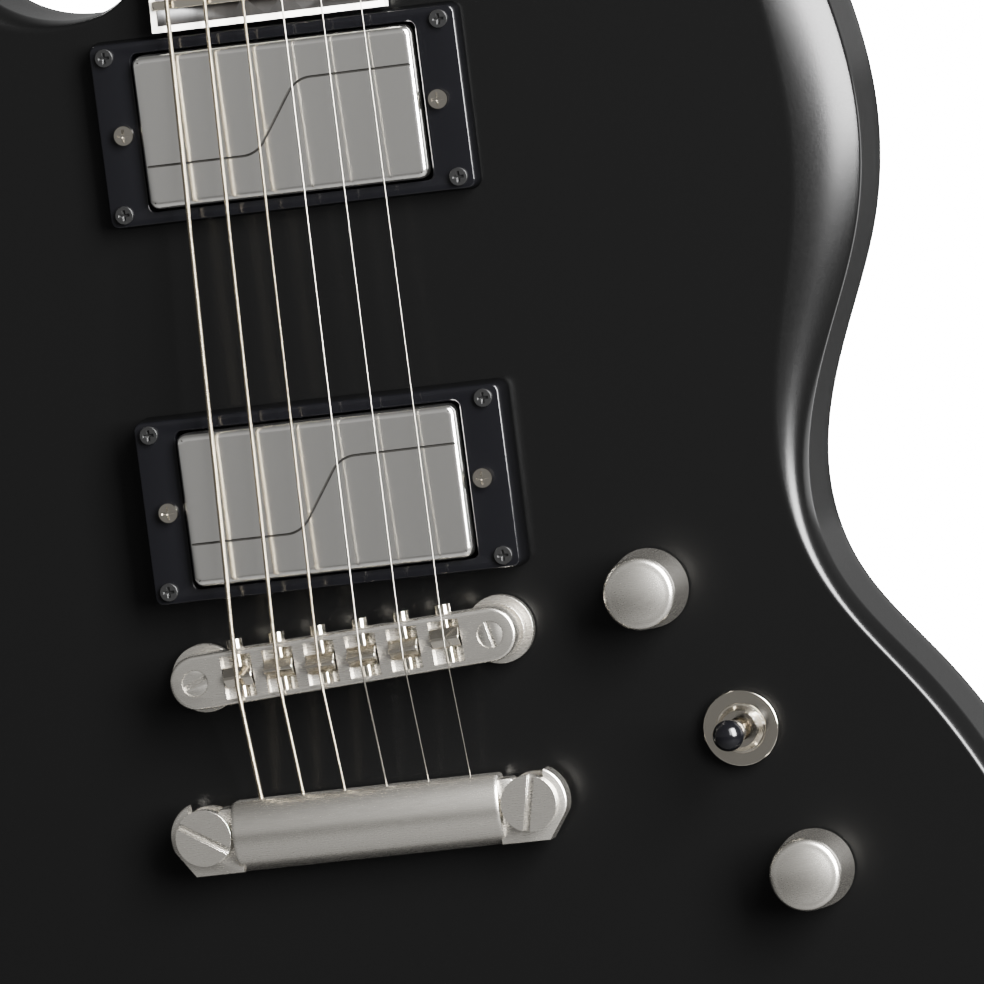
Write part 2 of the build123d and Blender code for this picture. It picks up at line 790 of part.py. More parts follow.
neck_pickup_ring = pickup_ring(neck_pickup, neck_ring_height)
neck_pickup_ring.label = "neck_pickup_ring"
export_step(neck_pickup_ring, "parts/neck_pickup_ring.step")
bridge_pickup_ring = pickup_ring(bridge_pickup, bridge_ring_height)
bridge_pickup_ring.label = "bridge_pickup_ring"
export_step(bridge_pickup_ring, "parts/bridge_pickup_ring.step")
neck_pickup_cover = pickup_cover(neck_pickup, neck_cover_top)
neck_pickup_cover.label = "neck_pickup_cover"
export_step(neck_pickup_cover, "parts/neck_pickup_cover.step")
bridge_pickup_cover = pickup_cover(bridge_pickup, bridge_cover_top)
bridge_pickup_cover.label = "bridge_pickup_cover"
export_step(bridge_pickup_cover, "parts/bridge_pickup_cover.step")
neck_pickup_core = pickup_core(neck_pickup, neck_cover_top)
neck_pickup_core.label = "neck_pickup_core"
export_step(neck_pickup_core, "parts/neck_pickup_core.step")
bridge_pickup_core = pickup_core(bridge_pickup, bridge_cover_top)
bridge_pickup_core.label = "bridge_pickup_core"
export_step(bridge_pickup_core, "parts/bridge_pickup_core.step")


with BuildPart() as pickup_springs:
    with BuildSketch(face_plane.offset(-leg_gap)):
        with Locations((0, neck_pickup), (0, bridge_pickup)):
            with GridLocations(height_screw_spacing, 0, 2, 1):
                Circle(2.6)
                Circle(2.0, mode=Mode.SUBTRACT)
    extrude(amount=leg_gap)
pickup_springs.part.label = "pickup_springs"
export_step(pickup_springs.part, "parts/pickup_springs.step")

with BuildPart(face_plane) as height_screws:
    for place, height in ((neck_pickup, neck_ring_height), (bridge_pickup, bridge_ring_height)):
        for side in (-1, 1):
            spot = side * height_screw_spacing / 2
            with Locations((spot, place, height)):
                Cylinder(height_screw_head, 1.7, align=BOTTOM)
                Cylinder(height_screw_radius, height + pickup_cavity_depth - 4, align=TOP)
            with Locations((spot, place, height + 1.7)):
                Box(3.2, 0.7, 1.8, mode=Mode.SUBTRACT)
                Box(0.7, 3.2, 1.8, mode=Mode.SUBTRACT)
height_screws.part.label = "height_screws"
export_step(height_screws.part, "parts/height_screws.step")

# ---------------------------------------------------------------- bridge and tailpiece
window_half = bar_width / 2 - rail_width
screw_height = bar_top - 2.6

with BuildPart() as bridge_frame:
    with BuildSketch(bridge_plane.offset(bar_bottom)):
        SlotOverall(bar_length, bar_width)
    extrude(amount=bar_top - bar_bottom)
    fillet(bridge_frame.faces().sort_by(Axis.Y)[0].edges(), 0.8)
    with BuildSketch(bridge_plane.offset(bar_bottom + bar_floor)):
        with Locations([(crest.X, 0) for crest in crests]):
            Rectangle(saddle_width + 2 * slot_play, 2 * window_half)
    extrude(amount=10, mode=Mode.SUBTRACT)
    with BuildSketch(bridge_plane.offset(bar_bottom)):
        with GridLocations(post_spacing, 0, 2, 1):
            Circle(stud_neck_radius - 0.7)
    extrude(amount=10, mode=Mode.SUBTRACT)
    for crest in crests:
        mouth = bridge_plane.from_local_coords(Vector(crest.X, bar_width, screw_height))
        with BuildSketch(Plane(origin=mouth, z_dir=-bridge_plane.y_dir)):
            Circle(intonation_radius)
        extrude(amount=2 * bar_width, mode=Mode.SUBTRACT)
bridge_frame.part.label = "bridge_frame"
export_step(bridge_frame.part, "parts/bridge_frame.step")

with BuildPart() as intonation_screws:
    for crest in crests:
        tip = bridge_plane.from_local_coords(Vector(crest.X, 0.3 - bar_width / 2, screw_height))
        with BuildSketch(Plane(origin=tip, z_dir=bridge_plane.y_dir)):
            Circle(intonation_radius)
        extrude(amount=bar_width - 0.3)
        seat = bridge_plane.from_local_coords(Vector(crest.X, bar_width / 2, screw_height))
        with BuildSketch(Plane(origin=seat, z_dir=bridge_plane.y_dir)):
            Circle(2.0)
        extrude(amount=2.4)
        slot_origin = seat + bridge_plane.y_dir * 2.4
        with BuildSketch(Plane(origin=slot_origin, x_dir=(0, 1, 0), z_dir=bridge_plane.y_dir)):
            Rectangle(5, 0.6)
        extrude(amount=-0.8, mode=Mode.SUBTRACT)
intonation_screws.part.label = "intonation_screws"
export_step(intonation_screws.part, "parts/intonation_screws.step")


def saddle(i):
    """Saddle with a roof-shaped crest, bored for its screw."""
    crest = crests[i]
    crest_height = crest.Z - string_radii[i] - saddle_gap
    floor = bar_bottom + bar_floor + running_gap
    half = saddle_length / 2
    middle = Plane(
        origin=bridge_plane.from_local_coords(Vector(crest.X, saddle_rest[i], 0)),
        x_dir=bridge_plane.y_dir,
        z_dir=bridge_plane.x_dir,
    )
    with BuildPart() as block:
        with BuildSketch(middle):
            with BuildLine():
                Polyline(
                    (-half, floor),
                    (half, floor),
                    (half, bar_top - 0.2),
                    (0.35, crest_height),
                    (-0.35, crest_height),
                    (-half, bar_top - 0.2),
                    close=True,
                )
            make_face()
        extrude(amount=saddle_width / 2, both=True)
        bore = bridge_plane.from_local_coords(Vector(crest.X, -bar_width, screw_height))
        with BuildSketch(Plane(origin=bore, z_dir=bridge_plane.y_dir)):
            Circle(intonation_radius + running_gap)
        extrude(amount=2 * bar_width, mode=Mode.SUBTRACT)
    return block.part


for i in range(string_count):
    piece = saddle(i)
    piece.label = f"saddle_{i + 1}"
    export_step(piece, f"parts/saddle_{i + 1}.step")

tail_reach = tail_spacing / 2
bar_half = tail_reach - stud_head_radius - stud_gap

with BuildPart() as tailpiece:
    with BuildSketch(Plane(origin=face_plane.origin, x_dir=(0, 0, 1), z_dir=(1, 0, 0))):
        with BuildLine():
            front_edge = (-tail_bar_front, tail_top - 3.6)
            rear_edge = (-tail_bar_rear, tail_top - 6.4)
            crown_point = (-(tail_bar_front + tail_bar_rear) / 2 + 1.0, tail_top)
            ThreePointArc(front_edge, crown_point, rear_edge)
            Polyline(rear_edge, (-tail_bar_rear, tail_bottom), (-tail_bar_front, tail_bottom), front_edge)
        make_face()
    extrude(amount=bar_half, both=True)
    fillet(tailpiece.edges().filter_by(Axis.X), 0.8)
    ear_side, ear_drop, ear_end = ear_corner
    rear_drop = tail_bar_rear - tail_back
    with BuildSketch(face_plane.offset(tail_bottom + 1.0)):
        with Locations((-tail_reach, -tail_back), (tail_reach, -tail_back)):
            Circle(ear_radius)
        with BuildLine():
            right_ear = Polyline(
                (tail_reach + ear_side, -tail_back - ear_drop),
                (tail_reach + ear_end, -tail_back - rear_drop),
                (bar_half - 1, -tail_back - rear_drop),
                (bar_half - 1, -tail_bar_front - 1),
                (tail_reach, -tail_bar_front - 1),
                close=True,
            )
        make_face()
        with BuildLine():
            mirror(right_ear, about=Plane.YZ)
        make_face()
    extrude(amount=ear_top - tail_bottom - 1.0)
    # hooks: open slots that let the bar slide onto its studs from the bridge's side
    with BuildSketch(face_plane.offset(tail_bottom)):
        with Locations((-tail_reach, -tail_back), (tail_reach, -tail_back)):
            Circle(stud_neck_radius)
            Rectangle(2 * stud_neck_radius, 20, align=(Align.CENTER, Align.MIN))
    extrude(amount=ear_top - tail_bottom + 10, mode=Mode.SUBTRACT)
    with BuildSketch(face_plane.offset(ear_top)):
        with Locations((-tail_reach, -tail_back), (tail_reach, -tail_back)):
            Circle(stud_head_radius + 0.6)
    extrude(amount=10, mode=Mode.SUBTRACT)
    # string holes: a narrow one in front, and a wide one behind for the ball
    for crest in crests:
        hole = face_plane.from_local_coords(Vector(crest.X, -tail_bar_rear - 1, tail_string_height))
        with BuildSketch(Plane(origin=hole, z_dir=(0, 0, 1))):
            Circle(ball_radius + 0.3)
        extrude(amount=tail_bar_rear - ball_seat + 1, mode=Mode.SUBTRACT)
        with BuildSketch(Plane(origin=hole, z_dir=(0, 0, 1))):
            Circle(string_hole)
        extrude(amount=tail_bar_rear + 2, mode=Mode.SUBTRACT)
tailpiece.part.label = "tailpiece"
export_step(tailpiece.part, "parts/tailpiece.step")

bridge_post_radius = stud_neck_radius - 0.7
tail_stud_top = ear_top + 3.2

with BuildPart(bridge_plane) as bridge_posts:
    for side in (-1, 1):
        with Locations((side * post_spacing / 2, 0, bar_top - 0.3)):
            Cylinder(bridge_post_radius, bar_top - 0.3 + bushing_length - 2, align=TOP)
            slot_turn = 60 + 40 * side
            Box(2 * bridge_post_radius + 1, 1.0, 1.6, rotation=(0, 0, slot_turn), mode=Mode.SUBTRACT)
        with Locations((side * post_spacing / 2, 0, thumbwheel_bottom)):
            Cylinder(thumbwheel_radius, thumbwheel_thickness, align=BOTTOM)
        with Locations((side * post_spacing / 2, 0, lock_ring_bottom)):
            Cylinder(lock_ring_radius, lock_ring_top - lock_ring_bottom, align=BOTTOM)
        with Locations((side * post_spacing / 2, 0, bar_bottom)):
            Cylinder(bridge_post_radius + 1.6, bar_bottom - thumbwheel_bottom, align=TOP)

with BuildPart(face_plane) as tail_posts:
    for side in (-1, 1):
        with Locations((side * tail_spacing / 2, -tail_back, tail_stud_top)):
            Cylinder(stud_head_radius, tail_stud_top - ear_top, align=TOP)
            Cylinder(stud_neck_radius, tail_stud_top + bushing_length - 2, align=TOP)
            slot_turn = -32 if side < 0 else 78
            Box(2 * stud_head_radius + 1, 1.6, 3.2, rotation=(0, 0, slot_turn), mode=Mode.SUBTRACT)
        with Locations((side * tail_spacing / 2, -tail_back, tail_bottom + 1.0)):
            Cylinder(stud_head_radius, 1.4, align=TOP)

with BuildPart() as studs:
    add(bridge_posts.part)
    add(tail_posts.part)
studs.part.label = "studs"
export_step(studs.part, "parts/studs.step")

with BuildPart() as bridge_bushings:
    with BuildSketch(bridge_plane):
        with GridLocations(post_spacing, 0, 2, 1):
            Circle(bushing_radius)
    extrude(amount=-bushing_length)
    with BuildSketch(bridge_plane):
        with GridLocations(post_spacing, 0, 2, 1):
            Circle(bushing_radius + 1.2)
    extrude(amount=1.0)
    with BuildSketch(bridge_plane.offset(1)):
        with GridLocations(post_spacing, 0, 2, 1):
            Circle(bridge_post_radius)
    extrude(amount=-bushing_length - 3, mode=Mode.SUBTRACT)

with BuildPart() as stud_bushings:
    add(bridge_bushings.part)
    tail_studs = [(-tail_spacing / 2, -tail_back), (tail_spacing / 2, -tail_back)]
    with BuildSketch(face_plane):
        with Locations(tail_studs):
            Circle(bushing_radius)
    extrude(amount=-bushing_length)
    with BuildSketch(face_plane):
        with Locations(tail_studs):
            Circle(bushing_radius + 1.2)
    extrude(amount=1.0)
    with BuildSketch(face_plane.offset(1)):
        with Locations(tail_studs):
            Circle(stud_neck_radius)
    extrude(amount=-bushing_length - 3, mode=Mode.SUBTRACT)
stud_bushings.part.label = "stud_bushings"
export_step(stud_bushings.part, "parts/stud_bushings.step")

# ---------------------------------------------------------------- controls
pot_top = -face_wood
pot_floor = pot_top - pot_height
switch_floor = pot_floor - switch_height
slider_thickness = 1.5
slider_gap = 0.3
slider_rest = switch_floor + 1.0 + slider_gap
shaft_foot = slider_rest + slider_thickness
shaft_top = knob_gap + knob_height - 4.0
pot_nut_height = 2.2
pot_bushing_height = 3.0


def knob(place):
    """Domed knob, hollow round the pot's nut, with a blind bore for the shaft."""
    with BuildPart() as cap:
        with BuildSketch(face_plane.offset(knob_gap)):
            with Locations(place):
                Circle(knob_radius)
        with BuildSketch(face_plane.offset(knob_gap + knob_height)):
            with Locations(place):
                Circle(knob_top_radius)
        loft(ruled=True)
        fillet(cap.faces().sort_by(Axis.Y)[0].edges(), 2.2)
        with BuildSketch(face_plane.offset(knob_gap)):
            with Locations(place):
                Circle(knob_radius - 1.8)
                Circle(shaft_radius + 1.8, mode=Mode.SUBTRACT)
        extrude(amount=knob_height - 4.5, mode=Mode.SUBTRACT)
        with BuildSketch(face_plane.offset(knob_gap)):
            with Locations(place):
                Circle(shaft_radius + 1.8)
        extrude(amount=pot_bushing_height + 0.8 - knob_gap, mode=Mode.SUBTRACT)
        with BuildSketch(face_plane.offset(knob_gap)):
            with Locations(place):
                Circle(shaft_radius)
        extrude(amount=shaft_top - knob_gap, mode=Mode.SUBTRACT)
    return cap.part


def shaft(place):
    """Pot shaft, from its slider up into the knob, with a collar above the slider."""
    with BuildPart() as rod:
        with BuildSketch(face_plane.offset(shaft_foot)):
            with Locations(place):
                Circle(shaft_radius)
        extrude(amount=shaft_top - shaft_foot)
        with BuildSketch(face_plane.offset(shaft_foot)):
            with Locations(place):
                Circle(shaft_radius + 0.8)
        extrude(amount=0.8)
    return rod.part


def slider(place):
    """Push-pull slider that carries the shaft's foot."""
    with BuildPart() as plate:
        with BuildSketch(face_plane.offset(slider_rest)):
            with Locations(place):
                RectangleRounded(10, 12, 1)
        extrude(amount=slider_thickness)
    return plate.part


volume_knob = knob(volume_place)
volume_knob.label = "volume_knob"
export_step(volume_knob, "parts/volume_knob.step")
volume_shaft = shaft(volume_place)
volume_shaft.label = "volume_shaft"
export_step(volume_shaft, "parts/volume_shaft.step")
volume_slider = slider(volume_place)
volume_slider.label = "volume_slider"
export_step(volume_slider, "parts/volume_slider.step")
tone_knob = knob(tone_place)
tone_knob.label = "tone_knob"
export_step(tone_knob, "parts/tone_knob.step")
tone_shaft = shaft(tone_place)
tone_shaft.label = "tone_shaft"
export_step(tone_shaft, "parts/tone_shaft.step")
tone_slider = slider(tone_place)
tone_slider.label = "tone_slider"
export_step(tone_slider, "parts/tone_slider.step")

with BuildPart() as pots:
    with BuildSketch(face_plane.offset(pot_top)):
        with Locations(volume_place, tone_place):
            Circle(pot_radius)
    extrude(amount=-pot_height)
    with BuildSketch(face_plane.offset(pot_top)):
        with Locations(volume_place, tone_place):
            Circle(4.0)
    extrude(amount=face_wood + pot_bushing_height)
    with BuildSketch(face_plane.offset(pot_floor)):
        with Locations(volume_place, tone_place):
            Rectangle(15, 18)
    extrude(amount=-switch_height)
    with BuildSketch(face_plane.offset(pot_floor - 0.6)):
        with Locations(volume_place, tone_place):
            Rectangle(12, 14)
    extrude(amount=1.6 - switch_height, mode=Mode.SUBTRACT)
    with BuildSketch(face_plane.offset(pot_bushing_height)):
        with Locations(volume_place, tone_place):
            Circle(shaft_radius + running_gap)
    extrude(amount=pot_floor - 1.0 - pot_bushing_height, mode=Mode.SUBTRACT)
    # room for the shafts' collars as they rise
    with BuildSketch(face_plane.offset(pot_floor - 0.6)):
        with Locations(volume_place, tone_place):
            Circle(shaft_radius + 1.1)
    extrude(amount=pull_travel, mode=Mode.SUBTRACT)
pots.part.label = "pots"
export_step(pots.part, "parts/pots.step")

toggle_nut_height = 3.2
toggle_dome = 5.6
jack_hex = 7.3

with BuildPart() as panel_nuts:
    with BuildSketch(face_plane):
        with Locations(volume_place, tone_place):
            RegularPolygon(6.2, 6)
            Circle(4.0, mode=Mode.SUBTRACT)
    extrude(amount=pot_nut_height)
    with BuildSketch(face_plane):
        with Locations(toggle_place):
            Circle(toggle_nut_radius)
            Circle(toggle_bushing_radius, mode=Mode.SUBTRACT)
    extrude(amount=toggle_nut_height)
    with BuildSketch(seat_plane.offset(jack_plate_size[2])):
        RegularPolygon(jack_hex, 6)
        Circle(jack_barrel_radius, mode=Mode.SUBTRACT)
    extrude(amount=2.2)
panel_nuts.part.label = "panel_nuts"
export_step(panel_nuts.part, "parts/panel_nuts.step")

lever_foot = -14.0

with BuildPart() as toggle_frame:
    with BuildSketch(face_plane.offset(-face_wood)):
        with Locations(toggle_place):
            Circle(toggle_bushing_radius)
    extrude(amount=face_wood + toggle_nut_height + 0.3)
    with BuildSketch(face_plane.offset(toggle_nut_height + 0.3)):
        with Locations(toggle_place):
            Circle(toggle_bushing_radius - 0.4)
    extrude(amount=toggle_dome - toggle_nut_height - 0.3, taper=28)
    with BuildSketch(face_plane.offset(-face_wood)):
        with Locations(toggle_place):
            Rectangle(14, 30)
    extrude(amount=-14)
    with BuildSketch(face_plane.offset(-face_wood - 1.6)):
        with Locations(toggle_place):
            Rectangle(11, 27)
    extrude(amount=-14, mode=Mode.SUBTRACT)
    with BuildSketch(face_plane.offset(toggle_pivot)):
        with Locations(toggle_place):
            Circle(lever_ball + running_gap)
    extrude(amount=-face_wood - 4, mode=Mode.SUBTRACT)
    pivot = face_plane.from_local_coords(Vector(toggle_place[0], toggle_place[1], toggle_pivot))
    with Locations(pivot):
        Sphere(lever_ball + running_gap, mode=Mode.SUBTRACT)
    with BuildSketch(face_plane.offset(toggle_pivot)):
        with Locations(toggle_place):
            Circle(lever_radius + 1.3)
    extrude(amount=12, mode=Mode.SUBTRACT)
    with BuildSketch(Plane(origin=pivot, z_dir=(1, 0, 0))):
        Circle(toggle_pin_radius + running_gap)
    extrude(amount=toggle_pin_length / 2 + running_gap, both=True, mode=Mode.SUBTRACT)
toggle_frame.part.label = "toggle_frame"
export_step(toggle_frame.part, "parts/toggle_frame.step")

with BuildPart() as toggle_lever:
    with Locations(pivot):
        Sphere(lever_ball)
    with BuildSketch(face_plane.offset(lever_foot)):
        with Locations(toggle_place):
            Circle(lever_radius)
    extrude(amount=tip_top - 5 - lever_foot)
    with BuildSketch(Plane(origin=pivot, z_dir=(1, 0, 0))):
        Circle(toggle_pin_radius)
    extrude(amount=toggle_pin_length / 2, both=True)
toggle_lever.part.label = "toggle_lever"
export_step(toggle_lever.part, "parts/toggle_lever.step")

with BuildPart() as toggle_tip:
    with BuildSketch(face_plane.offset(tip_top - 11)):
        with Locations(toggle_place):
            Circle(tip_radius - 0.8)
    with BuildSketch(face_plane.offset(tip_top)):
        with Locations(toggle_place):
            Circle(tip_radius)
    loft(ruled=True)
    fillet(toggle_tip.faces().sort_by(Axis.Y)[0].edges(), 2.4)
    fillet(toggle_tip.faces().sort_by(Axis.Y)[-1].edges(), 0.5)
    with BuildSketch(face_plane.offset(tip_top - 12)):
        with Locations(toggle_place):
            Circle(lever_radius)
    extrude(amount=7, mode=Mode.SUBTRACT)
toggle_tip.part.label = "toggle_tip"
export_step(toggle_tip.part, "parts/toggle_tip.step")

with BuildPart() as control_cover:
    with BuildSketch(face_plane.offset(-body_thickness)) as plate_shape:
        with BuildLine():
            Polyline(control_corners, close=True)
        make_face()
        fillet(plate_shape.vertices(), 8)
        offset(amount=cover_lip - 0.3)
        with Locations(cover_screws):
            Circle(wood_screw_radius, mode=Mode.SUBTRACT)
    extrude(amount=cover_plate)
    # counterbores that take the screws' heads flush
    with BuildSketch(face_plane.offset(-body_thickness)):
        with Locations(cover_screws):
            Circle(wood_screw_head + running_gap)
    extrude(amount=wood_screw_head_height, mode=Mode.SUBTRACT)
control_cover.part.label = "control_cover"
export_step(control_cover.part, "parts/control_cover.step")

battery_floor = cover_plate - body_thickness

with BuildPart() as battery:
    with BuildSketch(face_plane.offset(battery_floor)):
        with Locations((72, -76)):
            RectangleRounded(battery_size[0], battery_size[1], 2)
    extrude(amount=battery_size[2])
battery.part.label = "battery"
export_step(battery.part, "parts/battery.step")

with BuildPart() as jack_plate:
    with BuildSketch(seat_plane):
        RectangleRounded(jack_plate_size[0], jack_plate_size[1], 8.8)
        Circle(jack_barrel_radius, mode=Mode.SUBTRACT)
        with GridLocations(jack_plate_size[0] - 10, 0, 2, 1):
            Circle(wood_screw_radius, mode=Mode.SUBTRACT)
    extrude(amount=jack_plate_size[2])
jack_plate.part.label = "jack_plate"
export_step(jack_plate.part, "parts/jack_plate.step")

jack_mouth = jack_plate_size[2] + 3.4

with BuildPart() as jack_socket:
    with BuildSketch(seat_plane.offset(jack_mouth)):
        Circle(jack_barrel_radius)
    extrude(amount=-jack_mouth)
    with BuildSketch(seat_plane):
        Circle(jack_body_radius)
    extrude(amount=-jack_bore_length)
    with BuildSketch(seat_plane.offset(jack_mouth)):
        Circle(jack_bore)
    extrude(amount=-jack_bore_length, mode=Mode.SUBTRACT)
jack_socket.part.label = "jack_socket"
export_step(jack_socket.part, "parts/jack_socket.step")

with BuildPart() as strap_buttons:
    for seat in (tail_seat, horn_seat):
        with BuildSketch(seat):
            Circle(button_radius - 0.6)
        with BuildSketch(seat.offset(3.5)):
            Circle(button_neck)
        loft(ruled=True)
        with BuildSketch(seat.offset(3.5)):
            Circle(button_neck)
        with BuildSketch(seat.offset(button_height - 2.5)):
            Circle(button_radius)
        loft(ruled=True)
        with BuildSketch(seat.offset(button_height - 2.5)):
            Circle(button_radius)
        extrude(amount=2.5)
        with BuildSketch(seat):
            Circle(wood_screw_radius)
        extrude(amount=-20)
strap_buttons.part.label = "strap_buttons"
export_step(strap_buttons.part, "parts/strap_buttons.step")

# ---------------------------------------------------------------- tuners
gear_depth = -head_thickness - housing_size[2] / 2 - 0.2
worm_offset = gear_radius + worm_radius + gear_gap
bushing_flange = 1.4
bushing_nut = 2.0


def toward(i):
    """Direction from a tuner's post to the outside of the headstock."""
    return -1 if i < string_count / 2 else 1


def tuner_post(i):
    """String post with a waist for the windings and a gear at its foot."""
    with BuildPart() as post:
        with BuildSketch(head_plane.offset(gear_depth - 2)):
            with Locations(post_place(i)):
                Circle(post_radius)
        extrude(amount=post_height - gear_depth + 2)
        with BuildSketch(head_plane.offset(winding_height - 2.6)):
            with Locations(post_place(i)):
                Circle(post_radius + 1)
                Circle(post_waist, mode=Mode.SUBTRACT)
        extrude(amount=5.2, mode=Mode.SUBTRACT)
        with BuildSketch(head_plane.offset(gear_depth - 1.5)):
            with Locations(post_place(i)):
                Circle(gear_radius)
        extrude(amount=3)
    return post.part


def worm_plane(i, reach):
    """Plane across a tuner's worm shaft, at a distance outside its post."""
    x, y = post_place(i)
    origin = head_plane.from_local_coords(Vector(x + toward(i) * reach, y + worm_offset, gear_depth))
    return Plane(origin=origin, x_dir=head_plane.y_dir, z_dir=Vector(toward(i), 0, 0))


def tuner_button(i):
    """Worm, its shaft and the button on its end."""
    reach = tuner_button_reach - tuner_offset
    length, breadth, thickness = tuner_button_size
    with BuildPart() as button:
        with BuildSketch(worm_plane(i, -5)):
            Circle(worm_radius)
        extrude(amount=10)
        with BuildSketch(worm_plane(i, -5)):
            Circle(stem_radius)
        extrude(amount=reach + 5)
        middle = worm_plane(i, reach).origin + Vector(toward(i) * length / 2, 0, 0)
        with BuildSketch(Plane(origin=middle, x_dir=(1, 0, 0), z_dir=head_plane.z_dir)):
            RectangleRounded(length, breadth, 4.5)
        extrude(amount=thickness / 2, both=True)
        faces = button.faces().sort_by(Axis(middle, head_plane.z_dir))
        fillet(faces[0].outer_wire().edges() + faces[-1].outer_wire().edges(), 1.6)
    return button.part


for i in range(string_count):
    piece = tuner_post(i)
    piece.label = f"tuner_post_{i + 1}"
    export_step(piece, f"parts/tuner_post_{i + 1}.step")
    piece = tuner_button(i)
    piece.label = f"tuner_button_{i + 1}"
    export_step(piece, f"parts/tuner_button_{i + 1}.step")

housing_shift = worm_offset / 2

with BuildPart() as tuner_housings:
    for i in range(string_count):
        x, y = post_place(i)
        middle = (x + toward(i) * 0.8, y + housing_shift)
        wide, tall, deep = housing_size
        with BuildSketch(head_plane.offset(-head_thickness)):
            with Locations(middle):
                RectangleRounded(wide, tall, 3)
        extrude(amount=-deep)
        with BuildSketch(head_plane.offset(-head_thickness)):
            with Locations(middle):
                RectangleRounded(wide - 2 * housing_wall, tall - 2 * housing_wall, 2)
        extrude(amount=housing_wall - deep, mode=Mode.SUBTRACT)
        with BuildSketch(worm_plane(i, 2)):
            Circle(stem_radius + 1.4)
        extrude(amount=wide / 2 + 1.5)
        with BuildSketch(head_plane.offset(-head_thickness)):
            with Locations(middle):
                RectangleRounded(wide - 2 * housing_wall, tall - 2 * housing_wall, 2)
        extrude(amount=housing_wall - deep, mode=Mode.SUBTRACT)
        with BuildSketch(worm_plane(i, 0)):
            Circle(stem_radius + running_gap)
        extrude(amount=14, mode=Mode.SUBTRACT)
tuner_housings.part.label = "tuner_housings"
export_step(tuner_housings.part, "parts/tuner_housings.step")

with BuildPart() as tuner_fasteners:
    posts = [post_place(i) for i in range(string_count)]
    with BuildSketch(head_plane.offset(-head_thickness)):
        with Locations(posts):
            Circle(tuner_bushing_radius)
    extrude(amount=head_thickness)
    with BuildSketch(head_plane):
        with Locations(posts):
            Circle(tuner_bushing_radius + 1.9)
    extrude(amount=bushing_flange)
    with BuildSketch(head_plane.offset(bushing_flange)):
        with Locations(posts):
            RegularPolygon(tuner_bushing_radius + 1, 6)
    extrude(amount=bushing_nut)
    with BuildSketch(head_plane.offset(bushing_flange + bushing_nut)):
        with Locations(posts):
            Circle(post_radius + running_gap)
    extrude(amount=-head_thickness - 5, mode=Mode.SUBTRACT)
tuner_fasteners.part.label = "tuner_fasteners"
export_step(tuner_fasteners.part, "parts/tuner_fasteners.step")

# ---------------------------------------------------------------- strings


def tail_point(i, v):
    """Point on a string's axis inside or at the tailpiece."""
    return face_plane.from_local_coords(Vector(crests[i].X, v, tail_string_height))


with BuildPart() as strings:
    for i in range(string_count):
        radius = string_radii[i]
        behind = (saddle_travel + 0.5) / cos(radians(neck_angle))
        x, y = post_place(i)
        winding_radius = post_waist + winding_gap + radius
        anchor = tail_point(i, -ball_seat - ball_length / 2)
        course = [
            anchor,
            tail_point(i, -tail_bar_front),
            string_point(i, crest_down(i) + behind),
            string_point(i, -nut_length),
            head_plane.from_local_coords(Vector(x - toward(i) * winding_radius, y, winding_height)),
        ]
        with BuildLine() as route:
            FilletPolyline(course, radius=string_bend)
        with BuildSketch(Plane(origin=anchor, z_dir=course[1] - anchor)):
            Circle(radius)
        sweep(path=route.line)
        with Locations(Plane(origin=anchor, z_dir=(0, 0, 1))):
            Cylinder(ball_radius, ball_length)
        turns = winding_turns[i]
        with BuildSketch(head_plane.offset(winding_height - radius * turns)):
            with Locations((x, y)):
                Circle(winding_radius + radius)
                Circle(winding_radius - radius, mode=Mode.SUBTRACT)
        extrude(amount=2 * radius * turns)
strings.part.label = "strings"
export_step(strings.part, "parts/strings.step")

# ---------------------------------------------------------------- screws


def add_screw(plane, x, y, lift, length=wood_screw_length - 1):
    """Cross-recessed wood screw standing in a plane, its head's underside lifted by a height."""
    spot = plane.location * Location((x, y, lift))
    with Locations(spot):
        Cylinder(wood_screw_head, wood_screw_head_height, align=BOTTOM)
        Cylinder(wood_screw_radius, length, align=TOP)
    with Locations(spot * Location((0, 0, wood_screw_head_height))):
        Box(2.6, 0.6, 1.2, mode=Mode.SUBTRACT)
        Box(0.6, 2.6, 1.2, mode=Mode.SUBTRACT)


with BuildPart() as black_screws:
    for place, height in ((neck_pickup, neck_ring_height), (bridge_pickup, bridge_ring_height)):
        for side in (-1, 1):
            for end in (-1, 1):
                add_screw(face_plane, side * ring_screw_x / 2, place + end * ring_screw_y / 2, height)
    for u, v in cover_screws:
        add_screw(back_plane, -u, v, -wood_screw_head_height, cover_screw_length)
    for side in (-1, 1):
        add_screw(seat_plane, side * (jack_plate_size[0] / 2 - 5), 0, jack_plate_size[2])
    for x, y in rod_cover_screws:
        add_screw(head_plane, x, y, rod_cover_thickness, 9)
black_screws.part.label = "black_screws"
export_step(black_screws.part, "parts/black_screws.step")
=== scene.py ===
"""Studio scene of a solid-body electric guitar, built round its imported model."""

import logging
import math
from dataclasses import dataclass, field
from enum import Enum

import bmesh
import bpy
import numpy as np
from mathutils import Matrix, Vector

